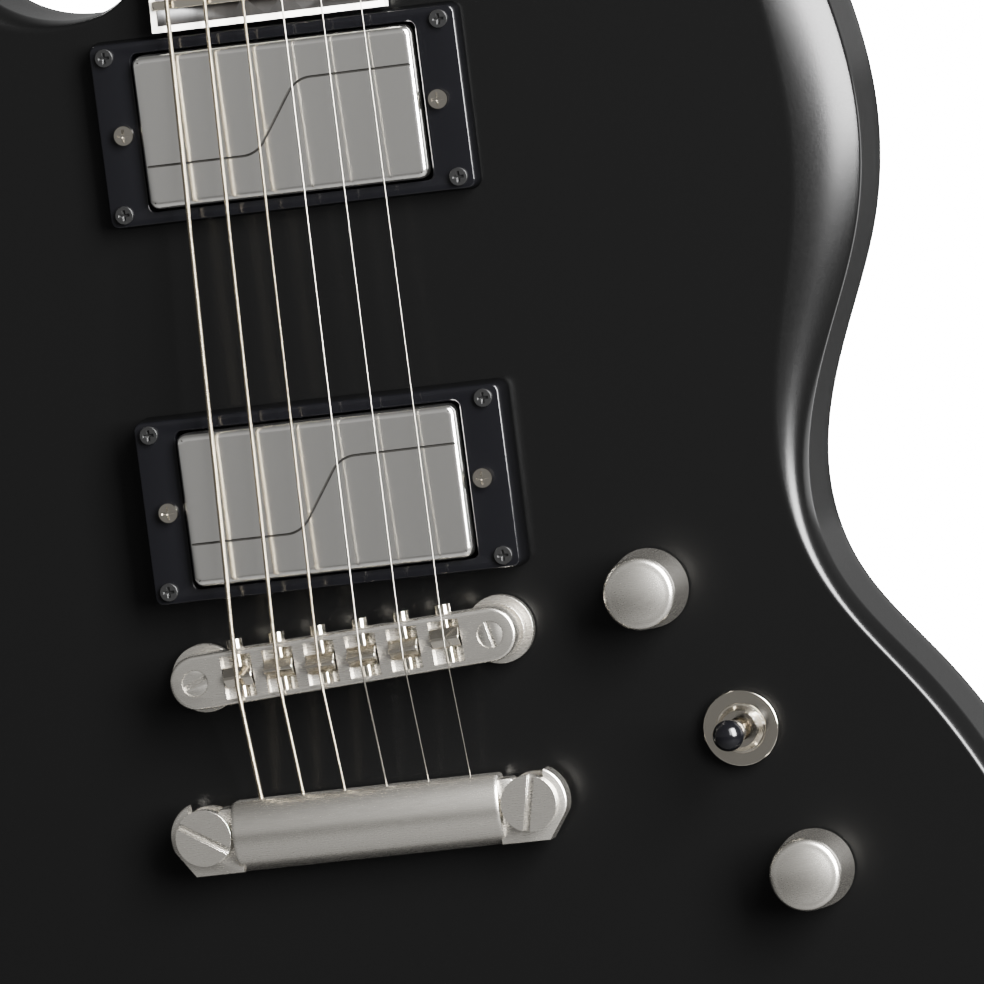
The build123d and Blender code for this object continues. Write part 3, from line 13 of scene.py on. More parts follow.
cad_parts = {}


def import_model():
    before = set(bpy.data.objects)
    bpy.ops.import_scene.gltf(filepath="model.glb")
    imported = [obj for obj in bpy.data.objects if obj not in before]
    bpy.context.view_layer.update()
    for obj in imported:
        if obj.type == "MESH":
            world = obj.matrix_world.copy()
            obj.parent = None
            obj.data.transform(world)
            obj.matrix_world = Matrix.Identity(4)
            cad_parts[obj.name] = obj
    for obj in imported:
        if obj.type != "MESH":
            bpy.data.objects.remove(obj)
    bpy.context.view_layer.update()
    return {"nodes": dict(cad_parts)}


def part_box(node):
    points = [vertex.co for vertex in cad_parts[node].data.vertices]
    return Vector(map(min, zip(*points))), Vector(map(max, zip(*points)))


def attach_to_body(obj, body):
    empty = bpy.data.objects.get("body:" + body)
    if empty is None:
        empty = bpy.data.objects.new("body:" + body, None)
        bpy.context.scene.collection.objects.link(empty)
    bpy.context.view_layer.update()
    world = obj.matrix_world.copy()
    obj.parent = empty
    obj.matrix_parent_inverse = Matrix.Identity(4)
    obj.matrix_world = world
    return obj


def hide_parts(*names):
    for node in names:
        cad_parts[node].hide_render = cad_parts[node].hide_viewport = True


LOG = logging.getLogger("guitar")
MM = 0.001
WAVE_BANDS = 20.0  # radians that the wave texture turns through in one unit


# ---------------------------------------------------------------- finishes


def linear(code: str) -> tuple[float, float, float, float]:
    """Turns an sRGB hex colour into linear red, green, blue and alpha.

    Args:
        code: Six hex digits with a leading hash.

    Returns:
        The four linear values.
    """
    parts = [int(code[i : i + 2], 16) / 255 for i in (1, 3, 5)]
    curve = [c / 12.92 if c <= 0.04045 else ((c + 0.055) / 1.055) ** 2.4 for c in parts]
    return (curve[0], curve[1], curve[2], 1.0)


def add_node(
    tree: bpy.types.NodeTree,
    kind: str,
    settings: dict[str, object] | None = None,
    inputs: dict[str | int, object] | None = None,
) -> bpy.types.Node:
    """Adds a shader node with its settings, values and links.

    Args:
        tree: Node tree that the node joins.
        kind: Blender's name of the node type.
        settings: Attributes set on the node.
        inputs: Values for its sockets, or output sockets to link to them.

    Returns:
        The new node.
    """
    node = tree.nodes.new(kind)
    for name, value in (settings or {}).items():
        setattr(node, name, value)
    for name, value in (inputs or {}).items():
        if isinstance(value, bpy.types.NodeSocket):
            tree.links.new(value, node.inputs[name])
        else:
            node.inputs[name].default_value = value
    return node


class Grain(Enum):
    """Fine structure of a finish."""

    SPECKLE = "speckle"
    BRUSHED = "brushed"
    WOUND = "wound"
    FIGURED = "figured"


@dataclass(frozen=True)
class Finish:
    """A surface finish: what the material is, and how fine its structure is."""

    name: str
    colour: str
    slot: str
    metallic: float = 0.0
    roughness: float = 0.4
    ior: float = 1.5
    coat: float = 0.0
    grain: Grain = Grain.SPECKLE
    pitch: float = 0.4
    relief: float = 0.02
    rough_spread: float = 0.06
    second: str = ""

    def material(self) -> bpy.types.Material:
        """Builds the finish's material, once.

        Returns:
            The material.
        """
        known = bpy.data.materials.get(self.name)
        if known:
            return known
        material = bpy.data.materials.new(self.name)
        material.use_nodes = True
        tree = material.node_tree
        tree.nodes.clear()
        pattern = self.pattern(tree)
        spread = add_node(
            tree,
            "ShaderNodeMapRange",
            {},
            {
                "Value": pattern,
                "To Min": self.roughness - self.rough_spread,
                "To Max": self.roughness + self.rough_spread,
            },
        )
        bump = add_node(
            tree,
            "ShaderNodeBump",
            {},
            {"Strength": 1.0, "Distance": self.relief * MM, "Height": pattern},
        )
        shader = add_node(
            tree,
            "ShaderNodeBsdfPrincipled",
            {},
            {
                "Base Color": linear(self.colour),
                "Metallic": self.metallic,
                "Roughness": spread.outputs["Result"],
                "IOR": self.ior,
                "Coat Weight": self.coat,
                "Coat Roughness": 0.08,
                "Normal": bump.outputs["Normal"],
            },
        )
        if self.second:
            tint = add_node(
                tree,
                "ShaderNodeMix",
                {"data_type": "RGBA"},
                {"Factor": pattern, 6: linear(self.colour), 7: linear(self.second)},
            )
            tree.links.new(tint.outputs[2], shader.inputs["Base Color"])
        add_node(tree, "ShaderNodeOutputMaterial", {}, {"Surface": shader.outputs["BSDF"]})
        return material

    def pattern(self, tree: bpy.types.NodeTree) -> bpy.types.NodeSocket:
        """Adds the finish's pattern, one cycle to each pitch in millimetres.

        Args:
            tree: Node tree of the material.

        Returns:
            The output socket with values from 0 to 1.
        """
        place = add_node(tree, "ShaderNodeTexCoord")
        cycles = 1 / (self.pitch * MM)
        if self.grain is Grain.WOUND:
            turns = add_node(
                tree,
                "ShaderNodeTexWave",
                {"bands_direction": "Y", "wave_profile": "SIN"},
                {"Vector": place.outputs["UV"], "Scale": 2 * math.pi / (WAVE_BANDS * self.pitch)},
            )
            return turns.outputs["Fac"]
        stretch = {
            Grain.SPECKLE: (1, 1, 1),
            Grain.BRUSHED: (0.04, 1, 1),
            Grain.FIGURED: (1, 1, 0.03),
        }[self.grain]
        mapping = add_node(
            tree, "ShaderNodeMapping", {}, {"Vector": place.outputs["Object"], "Scale": stretch}
        )
        noise = add_node(
            tree,
            "ShaderNodeTexNoise",
            {},
            {"Vector": mapping.outputs["Vector"], "Scale": cycles, "Detail": 3.0, "Roughness": 0.6},
        )
        return noise.outputs["Fac"]


# Satin lacquer over wood: black, with a broad soft gloss and a fine orange peel.
LACQUER = Finish("satin_lacquer", "#030303", "satin_black_lacquer", roughness=0.24, ior=1.27, pitch=0.5, relief=0.012)
# Oiled ebony: near black, with fine long pores.
EBONY = Finish(
    "oiled_ebony", "#070605", "ebony", roughness=0.42, grain=Grain.FIGURED, pitch=0.6,
    relief=0.02, second="#0d0b09",
)
# Celluloid binding and moulded nut: warm white, polished.
IVORY = Finish("white_binding", "#e6e3da", "white_plastic", roughness=0.25, pitch=2.0, relief=0.004)
BONE = Finish("polished_bone", "#ddd3bd", "bone", roughness=0.3, pitch=1.2, relief=0.006, second="#e8e0ce")
PEARL = Finish("pearloid", "#cfd3cf", "pearl", roughness=0.2, pitch=3.0, relief=0.0, second="#f1eee6", coat=0.5)
# Drawn nickel, blasted and lacquered: soft grey mirror.
SATIN_NICKEL = Finish(
    "satin_nickel_plate", "#f2f0eb", "satin_nickel", metallic=1.0, roughness=0.17, pitch=0.35,
    relief=0.003, rough_spread=0.03,
)
# The same nickel on the scored line's faces, made darker: painted shade in the groove.
GROOVE_SHADE_NICKEL = Finish("groove_painted_shade_nickel", "#2c2b29", "satin_nickel", metallic=1.0, roughness=0.5, pitch=0.35)
# Cast zinc with brushed nickel plate: lines along the part.
BRUSHED_NICKEL = Finish(
    "brushed_nickel", "#c4c0b8", "satin_nickel", metallic=1.0, roughness=0.27, grain=Grain.BRUSHED,
    pitch=0.16, relief=0.0025, rough_spread=0.03,
)
BRIGHT_NICKEL = Finish(
    "bright_nickel_plate", "#cfc9bd", "bright_nickel", metallic=1.0, roughness=0.12, pitch=1.0,
    relief=0.002, rough_spread=0.04,
)
FRET_WIRE = Finish("fret_wire", "#c9c3b6", "nickel_silver", metallic=1.0, roughness=0.16, pitch=0.8, relief=0.002)
STEEL = Finish("plain_steel", "#8d8d8d", "steel", metallic=1.0, roughness=0.35, pitch=0.5, relief=0.005)
BLACK_OXIDE = Finish("black_oxide", "#141414", "black_steel", metallic=0.6, roughness=0.35, pitch=0.4, relief=0.004)
# Moulded ABS: deep black with a fair gloss.
BLACK_ABS = Finish("gloss_abs", "#040405", "black_plastic", ior=1.36, roughness=0.14, pitch=1.5, relief=0.003, rough_spread=0.03)
PLAIN_BLACK = Finish("matt_moulding", "#101010", "pickup_core", roughness=0.6, pitch=0.5)
JACKET = Finish("battery_jacket", "#2b2b2d", "battery_jacket", roughness=0.3, pitch=1.0, relief=0.003)
PLAIN_WIRE = Finish("plain_wire", "#8a867e", "string_wire", metallic=1.0, roughness=0.3, pitch=0.5, relief=0.0)
# Round-wound wire, its turns drawn twice as coarse as they are so that they show.
WOUND_WIRE = Finish(
    "wound_wire", "#968d7b", "string_wire", metallic=1.0, roughness=0.25, grain=Grain.WOUND,
    pitch=0.5, relief=0.12, rough_spread=0.05,
)


# ---------------------------------------------------------------- places


@dataclass(frozen=True)
class Placement:
    """A local frame in millimetres: an origin, and axes across, along and out."""

    origin: np.ndarray
    across: np.ndarray
    along: np.ndarray
    out: np.ndarray

    def world(self, points: np.ndarray) -> np.ndarray:
        """Carries local millimetres into the frame's metres.

        Args:
            points: Array whose last axis holds the three local coordinates.

        Returns:
            Array of the same shape, in metres.
        """
        turned = points[..., :1] * self.across + points[..., 1:2] * self.along + points[..., 2:] * self.out
        return (turned + self.origin) * MM

    def local(self, points: np.ndarray) -> np.ndarray:
        """Carries metres in the frame back into local millimetres."""
        offset = points / MM - self.origin
        return np.stack([offset @ self.across, offset @ self.along, offset @ self.out], axis=-1)


def leaned(origin: np.ndarray, lean: float, skew: float = 0.0) -> Placement:
    """Placement that faces out of the face, leaned back and skewed by angles in degrees.

    Args:
        origin: Its origin in millimetres.
        lean: Angle that its along axis leans back by.
        skew: Angle that it turns by in its own plane.

    Returns:
        The placement.
    """
    back, turn = math.radians(lean), math.radians(skew)
    across = np.array([1.0, 0.0, 0.0])
    along = np.array([0.0, math.sin(back), math.cos(back)])
    out = np.array([0.0, -math.cos(back), math.sin(back)])
    turned_across = across * math.cos(turn) + along * math.sin(turn)
    turned_along = along * math.cos(turn) - across * math.sin(turn)
    return Placement(np.array(origin, float), turned_across, turned_along, out)


# ---------------------------------------------------------------- surfaces


def make_object(
    name: str,
    points: np.ndarray,
    faces: list[tuple[int, ...]],
    finish: Finish,
    sharp: float = 32.0,
) -> bpy.types.Object:
    """Makes a smooth-shaded object from points in metres.

    Args:
        name: The piece's name.
        points: Array of points, one row each.
        faces: Corner indices of each face.
        finish: Its finish.
        sharp: Angle in degrees past which an edge stays sharp.

    Returns:
        The object, linked to the scene.
    """
    mesh = bpy.data.meshes.new(name)
    mesh.from_pydata(points.reshape(-1, 3).tolist(), [], faces)
    mesh.validate()
    mesh.shade_smooth()
    mesh.set_sharp_from_angle(angle=math.radians(sharp))
    mesh.materials.append(finish.material())
    piece = bpy.data.objects.new(name, mesh)
    bpy.context.scene.collection.objects.link(piece)
    return piece


def ring_faces(rows: int, columns: int, first: int = 0) -> list[tuple[int, ...]]:
    """Quads of a grid whose columns close on themselves.

    Row r and column c hold point r * columns + c, and each quad joins two neighbours
    of one row to the same two of the next.

    Args:
        rows: Number of rows.
        columns: Number of points in a row.
        first: Index of the grid's first point.

    Returns:
        The quads, facing outwards where the columns run anticlockwise.
    """
    row, column = np.meshgrid(np.arange(rows - 1), np.arange(columns), indexing="ij")
    after = (column + 1) % columns
    corners = np.stack(
        [row * columns + column, row * columns + after, (row + 1) * columns + after, (row + 1) * columns + column],
        axis=-1,
    )
    return [tuple(quad) for quad in (corners.reshape(-1, 4) + first).tolist()]


def closed_stack(sections: np.ndarray, first: int = 0) -> tuple[np.ndarray, list[tuple[int, ...]]]:
    """Closes a stack of ring sections with a fan at each end.

    Args:
        sections: Array of rows, columns and three coordinates, bottom row first.
        first: Index of the first point.

    Returns:
        The points and the faces.
    """
    rows, columns = sections.shape[:2]
    ends = np.stack([sections[0].mean(0), sections[-1].mean(0)])
    points = np.concatenate([sections.reshape(-1, 3), ends])
    faces = ring_faces(rows, columns, first)
    low, high = first + rows * columns, first + rows * columns + 1
    top = first + (rows - 1) * columns
    for i in range(columns):
        j = (i + 1) % columns
        faces.append((first + j, first + i, low))
        faces.append((top + i, top + j, high))
    return points, faces


def joined(parts: list[tuple[np.ndarray, list[tuple[int, ...]]]]) -> tuple[np.ndarray, list[tuple[int, ...]]]:
    """Joins several sets of points and faces into one.

    Args:
        parts: The sets, each with faces that count from 0.

    Returns:
        All the points, and the faces counted on.
    """
    points, faces, count = [], [], 0
    for part_points, part_faces in parts:
        points.append(part_points.reshape(-1, 3))
        faces += [tuple(i + count for i in face) for face in part_faces]
        count += len(points[-1])
    return np.concatenate(points), faces


def turned_sections(profile: list[tuple[float, float]], columns: int = 64) -> np.ndarray:
    """Ring sections of a turned shape.

    A point is (r cos a, r sin a, h), with r and h from the profile and a round the axis.

    Args:
        profile: Radius and height of each row.
        columns: Points round the axis.

    Returns:
        The sections.
    """
    shape = np.array(profile, float)
    angle = np.linspace(0, 2 * math.pi, columns, endpoint=False)
    radius, height = shape[:, :1], shape[:, 1:]
    return np.stack([radius * np.cos(angle), radius * np.sin(angle), height + 0 * angle], axis=-1)


def slab_section(
    half_x: float, half_y: float, corner: float, height: float, steps: int = 8
) -> np.ndarray:
    """Rounded rectangle at a height, anticlockwise.

    Each corner is a quarter circle of the corner radius about the point that lies that far
    inside both sides.

    Args:
        half_x: Half its length.
        half_y: Half its width.
        corner: Corner radius.
        height: Its height.
        steps: Points on each corner.

    Returns:
        The points of the ring.
    """
    quarter = np.linspace(0, math.pi / 2, steps)
    rings = []
    for turn, (sx, sy) in enumerate(((1, 1), (-1, 1), (-1, -1), (1, -1))):
        angle = quarter + turn * math.pi / 2
        x = sx * (half_x - corner) + corner * np.cos(angle)
        y = sy * (half_y - corner) + corner * np.sin(angle)
        rings.append(np.stack([x, y, np.full(steps, height)], axis=-1))
    return np.concatenate(rings)


def slab_sections(
    half_x: float, half_y: float, corner: float, low: float, high: float, edge: float, draft: float = 0.0
) -> np.ndarray:
    """Sections of a rounded slab whose top edge is a quarter circle.

    Args:
        half_x: Half its length at the top.
        half_y: Half its width at the top.
        corner: Corner radius in plan.
        low: Height of its foot.
        high: Height of its top.
        edge: Radius of the top edge.
        draft: How much further each side stands out at the foot.

    Returns:
        The sections, foot first.
    """
    rows = [slab_section(half_x + draft, half_y + draft, corner + draft, low)]
    for angle in np.linspace(0, math.pi / 2, 6):
        inward = edge * (1 - math.cos(angle))
        rise = high - edge + edge * math.sin(angle)
        rows.append(slab_section(half_x - inward, half_y - inward, max(corner - inward, 0.1), rise))
    rows.append(slab_section(half_x - edge - 0.4, half_y - edge - 0.4, max(corner - edge, 0.1), high))
    return np.stack(rows)


def natural_spline(knots: np.ndarray, count: int) -> np.ndarray:
    """Smooth curve through knots, by natural cubic splines over chord length.

    The second derivatives at the knots solve the usual three-term system, with none at the
    ends, and each span is the cubic that they give.

    Args:
        knots: The knots, one row each.
        count: Points on the curve.

    Returns:
        The points, spread evenly over the chord length.
    """
    chord = np.linalg.norm(np.diff(knots[:, :2], axis=0), axis=1)
    place = np.concatenate([[0], np.cumsum(chord)])
    size = len(knots)
    system = np.eye(size)
    right = np.zeros_like(knots)
    slope = np.diff(knots, axis=0) / chord[:, None]
    for i in range(1, size - 1):
        system[i, i - 1 : i + 2] = chord[i - 1], 2 * (chord[i - 1] + chord[i]), chord[i]
        right[i] = 6 * (slope[i] - slope[i - 1])
    bend = np.linalg.solve(system, right)
    at = np.linspace(0, place[-1], count)
    span = np.clip(np.searchsorted(place, at, side="right") - 1, 0, size - 2)
    step = chord[span][:, None]
    before = (place[span + 1] - at)[:, None]
    after = (at - place[span])[:, None]
    curve = (bend[span] * before**3 + bend[span + 1] * after**3) / (6 * step)
    curve += (knots[span] / step - bend[span] * step / 6) * before
    curve += (knots[span + 1] / step - bend[span + 1] * step / 6) * after
    return curve


def carried_tube(path: np.ndarray, radius: float, columns: int = 10) -> tuple[np.ndarray, list[tuple[int, ...]]]:
    """Round tube along a path.

    At each path point a circle stands square to the path, its first direction square to the
    path and to a fixed side direction.

    Args:
        path: Points of the path.
        radius: Radius of the tube.
        columns: Points round the tube.

    Returns:
        The points and the faces.
    """
    heading = np.gradient(path, axis=0)
    heading /= np.linalg.norm(heading, axis=1, keepdims=True)
    side = np.cross(heading, np.array([0.0, 1.0, 0.0]))
    side /= np.linalg.norm(side, axis=1, keepdims=True)
    other = np.cross(heading, side)
    angle = np.linspace(0, 2 * math.pi, columns, endpoint=False)
    circle = np.cos(angle)[None, :, None] * side[:, None] + np.sin(angle)[None, :, None] * other[:, None]
    return closed_stack(path[:, None] + radius * circle)


def prism(outline: np.ndarray, low: float, high: float) -> tuple[np.ndarray, list[tuple[int, ...]]]:
    """Straight prism on an outline that runs anticlockwise, from one height to another."""
    count = len(outline)
    rows = [np.column_stack([outline, np.full(count, height)]) for height in (low, high)]
    faces = ring_faces(2, count)
    faces.append(tuple(range(count - 1, -1, -1)))
    faces.append(tuple(range(count, 2 * count)))
    return np.concatenate(rows), faces


def shift(points: np.ndarray, x: float, y: float, z: float = 0.0) -> np.ndarray:
    """Moves local points by three distances."""
    return points + np.array([x, y, z])


def attach(piece: bpy.types.Object, body: str, finish: Finish, *nodes: str) -> bpy.types.Object:
    """Makes a piece ride a body and stand for CAD nodes.

    Args:
        piece: The piece.
        body: Name of its body.
        finish: Its finish; not used.
        nodes: CAD nodes that it stands for.

    Returns:
        The piece.
    """
    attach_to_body(piece, body)
    if nodes:
        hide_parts(*nodes)
    LOG.info("%s rides %s: %d faces", piece.name, body, len(piece.data.polygons))
    return piece


def dress(frame: dict, finish: Finish, *nodes: str) -> None:
    """Gives CAD nodes a finish."""
    for node in nodes:
        materials = frame["nodes"][node].data.materials
        materials.clear()
        materials.append(finish.material())


def refined(
    frame: dict, node: str, body: str, finish: Finish, edge: float = 0.2, name: str = ""
) -> bpy.types.Object:
    """Copies a CAD node with its corners merged and its sharp edges eased.

    Args:
        frame: The loaded frame.
        node: The CAD node.
        body: Body that it rides.
        finish: Its finish.
        edge: Width of the eased edge in millimetres.
        name: Name of the copy.

    Returns:
        The copy, which stands for the node.
    """
    mesh = frame["nodes"][node].data.copy()
    shape = bmesh.new()
    shape.from_mesh(mesh)
    bmesh.ops.remove_doubles(shape, verts=shape.verts, dist=0.002 * MM)
    bmesh.ops.dissolve_limit(shape, angle_limit=math.radians(1), verts=shape.verts, edges=shape.edges)
    shape.to_mesh(mesh)
    shape.free()
    mesh.materials.clear()
    mesh.materials.append(finish.material())
    mesh.shade_smooth()
    mesh.set_sharp_from_angle(angle=math.radians(32))
    piece = bpy.data.objects.new(name or f"{node}_eased", mesh)
    bpy.context.scene.collection.objects.link(piece)
    if edge:
        ease = piece.modifiers.new("ease", "BEVEL")
        ease.width = edge * MM
        ease.segments = 2
        ease.limit_method = "ANGLE"
        ease.angle_limit = math.radians(40)
        ease.harden_normals = False
    return attach(piece, body, finish, node)


def eased_path(corners: np.ndarray, radius: float, steps: int = 8, spacing: float = 4.0) -> np.ndarray:
    """Straight runs between corners, with an arc at each corner.

    At a corner the arc leaves each run at radius * tan(turn / 2) from it, and its points are
    the circle's about the centre on the bisector.

    Args:
        corners: The corners, one row each.
        radius: Radius of the arcs.
        steps: Points on an arc.
        spacing: Longest gap between points on a straight run.

    Returns:
        The points of the path.
    """
    points = [corners[0]]
    for before, corner, after in zip(corners[:-2], corners[1:-1], corners[2:]):
        back = (before - corner) / np.linalg.norm(before - corner)
        ahead = (after - corner) / np.linalg.norm(after - corner)
        turn = math.pi - math.acos(float(np.clip(back @ ahead, -1, 1)))
        if turn < 0.01:
            points.append(corner)
            continue
        reach = min(radius * math.tan(turn / 2), 0.45 * float(np.linalg.norm(after - corner)))
        bend = reach / math.tan(turn / 2)
        inward = (back + ahead) / np.linalg.norm(back + ahead)
        centre = corner + inward * bend / math.cos(turn / 2)
        first = corner + back * reach - centre
        side = -back * bend
        angle = np.linspace(0, turn, steps)[:, None]
        points.extend(centre + first * np.cos(angle) + side * np.sin(angle))
    points.append(corners[-1])
    filled = [points[0]]
    for before, after in zip(points[:-1], points[1:]):
        gaps = max(1, math.ceil(float(np.linalg.norm(after - before)) / spacing))
        filled.extend(before + (after - before) * k / gaps for k in range(1, gaps + 1))
    return np.array(filled)


def carve(piece: bpy.types.Object, cutters: list[tuple[np.ndarray, list[tuple[int, ...]]]]) -> None:
    """Cuts closed shapes out of a piece and keeps the result as its mesh.

    Args:
        piece: The piece.
        cutters: Points in metres and faces of each shape.
    """
    helpers = []
    for number, (points, faces) in enumerate(cutters):
        mesh = bpy.data.meshes.new(f"cutter_{number}")
        mesh.from_pydata(points.reshape(-1, 3).tolist(), [], faces)
        helper = bpy.data.objects.new(mesh.name, mesh)
        bpy.context.scene.collection.objects.link(helper)
        helpers.append(helper)
        cut = piece.modifiers.new(mesh.name, "BOOLEAN")
        cut.operation = "DIFFERENCE"
        cut.solver = "EXACT"
        cut.object = helper
    bpy.context.view_layer.update()
    shaped = bpy.data.meshes.new_from_object(piece.evaluated_get(bpy.context.evaluated_depsgraph_get()))
    shaped.name = piece.name
    piece.modifiers.clear()
    piece.data = shaped
    for helper in helpers:
        bpy.data.objects.remove(helper)


# ---------------------------------------------------------------- body


@dataclass
class BodyShell:
    """Solid body with a wide bevel round its face, cavities behind and under its fittings."""

    face: Placement
    thickness: float = 35.0
    bevel_depth: float = 6.0
    back_round: float = 2.5
    heel_half: float = 28.0
    heel_top: float = 174.0
    face_wood: float = 6.0
    cover_plate: float = 2.2
    cover_lip: float = 5.0
    columns: int = 900
    treble_cutaway: tuple = (
        (31.0, 174.0, 0.8),
        (38.0, 164.0, 0.9),
        (52.0, 160.3, 1.2),
        (68.6, 166.0, 4.0),
        (81.0, 183.0, 7.0),
        (88.0, 203.0, 8.0),
        (99.0, 216.0, 14.0),
        (114.0, 203.0, 13.0),
    )
    bass_cutaway: tuple = (
        (-31.0, 174.0, 0.8),
        (-38.0, 164.0, 0.9),
        (-52.0, 160.3, 1.2),
        (-68.6, 166.0, 4.0),
        (-82.0, 185.0, 7.0),
        (-90.0, 210.0, 8.0),
        (-102.0, 224.0, 14.0),
        (-117.0, 210.0, 13.0),
    )
    flank: tuple = (
        (126.6, 172.0, 13.0),
        (135.0, 143.4, 15.0),
        (138.6, 117.0, 16.0),
        (134.6, 88.0, 14.6),
        (124.4, 62.3, 11.0),
        (115.6, 27.0, 5.4),
        (119.6, 7.0, 3.4),
        (138.5, -20.3, 3.3),
        (155.0, -48.0, 3.3),
        (166.0, -90.0, 3.3),
        (150.0, -134.0, 3.3),
        (100.0, -161.0, 3.3),
    )
    tail: tuple = (0.0, -168.0, 3.3)
    control_corners: tuple = (
        (56.0, 24.0),
        (98.0, 24.0),
        (116.0, -8.0),
        (134.0, -40.0),
        (142.0, -71.0),
        (142.0, -97.0),
        (126.0, -104.0),
        (56.0, -104.0),
    )

    def rim_knots(self) -> np.ndarray:
        """Outline's knots clockwise from the heel: place across, place along, bevel width."""
        flank = np.array(self.flank)
        mirrored = flank * np.array([-1.0, 1.0, 1.0])
        return np.concatenate(
            [self.treble_cutaway, flank, [self.tail], mirrored[::-1], np.array(self.bass_cutaway)[::-1]]
        )

    def rim_curve(self, inset: float | None) -> np.ndarray:
        """Outline drawn in by one distance, or by the bevel's own width.

        Each knot moves square to the line between its neighbours, and the natural spline goes
        through the moved knots.

        Args:
            inset: The distance, or None for the bevel's width.

        Returns:
            Points across and along, anticlockwise.
        """
        knots = self.rim_knots()
        step = knots[:, 2] if inset is None else np.full(len(knots), inset)
        heading = np.zeros((len(knots), 2))
        heading[1:-1] = knots[2:, :2] - knots[:-2, :2]
        heading[1:-1] /= np.linalg.norm(heading[1:-1], axis=1, keepdims=True)
        moved = knots[:, :2] + np.stack([heading[:, 1], -heading[:, 0]], axis=-1) * step[:, None]
        moved[0] = knots[0, :2] + np.array([-1, -1]) * step[0]
        moved[-1] = knots[-1, :2] + np.array([1, -1]) * step[-1]
        curve = natural_spline(moved, self.columns)
        heel = np.linspace(curve[-1], curve[0], 12)[1:-1]
        return np.concatenate([curve, heel])[::-1]

    def sections(self) -> np.ndarray:
        """Ring sections from the back to the face.

        The back edge is a quarter circle. The bevel is a quadratic curve, steeper
        towards the wall, and its two edges are quadratic curves too.

        Returns:
            The sections.
        """
        wall = self.rim_curve(0.0)
        lip = self.rim_curve(None)
        back = self.rim_curve(self.back_round)
        inner = wall + (back - wall) * 3

        def ring(plan: np.ndarray, height: float | np.ndarray) -> np.ndarray:
            """Lifts a plan to a height."""
            return np.column_stack([plan, np.broadcast_to(height, len(plan))])

        rows = [ring(inner, -self.thickness)]
        for angle in np.linspace(0, math.pi / 2, 7):
            plan = wall + (back - wall) * (1 - math.sin(angle))
            rows.append(ring(plan, -self.thickness + self.back_round * (1 - math.cos(angle))))
        slope = lip - wall
        width = np.linalg.norm(slope, axis=1, keepdims=True)
        outward = -slope / width
        blend = 0.9 / np.hypot(width, self.bevel_depth)
        for height in np.linspace(self.back_round - self.thickness, -self.bevel_depth - 1.2, 5)[1:]:
            rows.append(ring(wall, height))
        corner = ring(wall, -self.bevel_depth)
        low = corner - np.array([0, 0, 0.9])
        high = corner + (ring(lip, 0.0) - corner) * np.array([0.8, 0.8, 1.4]) * blend
        for t in np.linspace(0, 1, 6):
            rows.append(low * (1 - t) ** 2 + 2 * corner * t * (1 - t) + high * t**2)
        edge = ring(lip, 0.0)
        start = edge + (corner - edge) * np.array([1.0, 1.0, 0.45]) * blend * 1.4
        finish = edge - np.column_stack([outward, np.zeros(len(lip))]) * 1.6
        crown = corner + (edge - corner) * 0.45
        crown[:, 2] = -self.bevel_depth * 0.24
        for t in np.linspace(0, 1, 16)[1:-1]:
            rows.append(high * (1 - t) ** 2 + 2 * crown * t * (1 - t) + start * t**2)
        for t in np.linspace(0, 1, 8):
            rows.append(start * (1 - t) ** 2 + 2 * edge * t * (1 - t) + finish * t**2)
        rows.append(finish - np.column_stack([outward, np.zeros(len(lip))]) * 0.8)
        return np.stack(rows)

    def rounded_control(self, radius: float) -> np.ndarray:
        """Control cavity's outline: its corners' arcs are about centres 8 mm inside them."""
        corners = np.array(self.control_corners)[::-1]
        inner_radius = 8.0
        plan = []
        for before, corner, after in zip(np.roll(corners, 1, 0), corners, np.roll(corners, -1, 0)):
            ahead = (corner - before) / np.linalg.norm(corner - before)
            onward = (after - corner) / np.linalg.norm(after - corner)
            first = np.array([ahead[1], -ahead[0]])
            second = np.array([onward[1], -onward[0]])
            halfway = (first + second) / (1 + first @ second)
            centre = corner - halfway * inner_radius
            turn = math.acos(float(np.clip(first @ second, -1, 1)))
            for angle in np.linspace(0, turn, 8 if turn > 0.02 else 1):
                spread = 0.5 if turn <= 0.02 else math.sin(angle) / math.sin(turn)
                keep = 0.5 if turn <= 0.02 else math.sin(turn - angle) / math.sin(turn)
                plan.append(centre + radius * (first * keep + second * spread))
        return np.array(plan)

    def cutters(self) -> list[tuple[np.ndarray, list[tuple[int, ...]]]]:
        """Neck pocket, cavities, holes and flats, as closed shapes in metres."""
        shapes = []

        def block(x: float, y: float, half_x: float, half_y: float, low: float, high: float) -> None:
            """Adds a plain block about a place on the face."""
            plan = np.array([[x + half_x, y + half_y], [x - half_x, y + half_y],
                             [x - half_x, y - half_y], [x + half_x, y - half_y]])
            shapes.append(prism(plan, low, high))

        def hole(x: float, y: float, radius: float, low: float, high: float) -> None:
            """Adds a round hole at a place on the face."""
            plan = turned_sections([(radius, 0.0)], 48)[0][:, :2] + np.array([x, y])
            shapes.append(prism(plan, low, high))

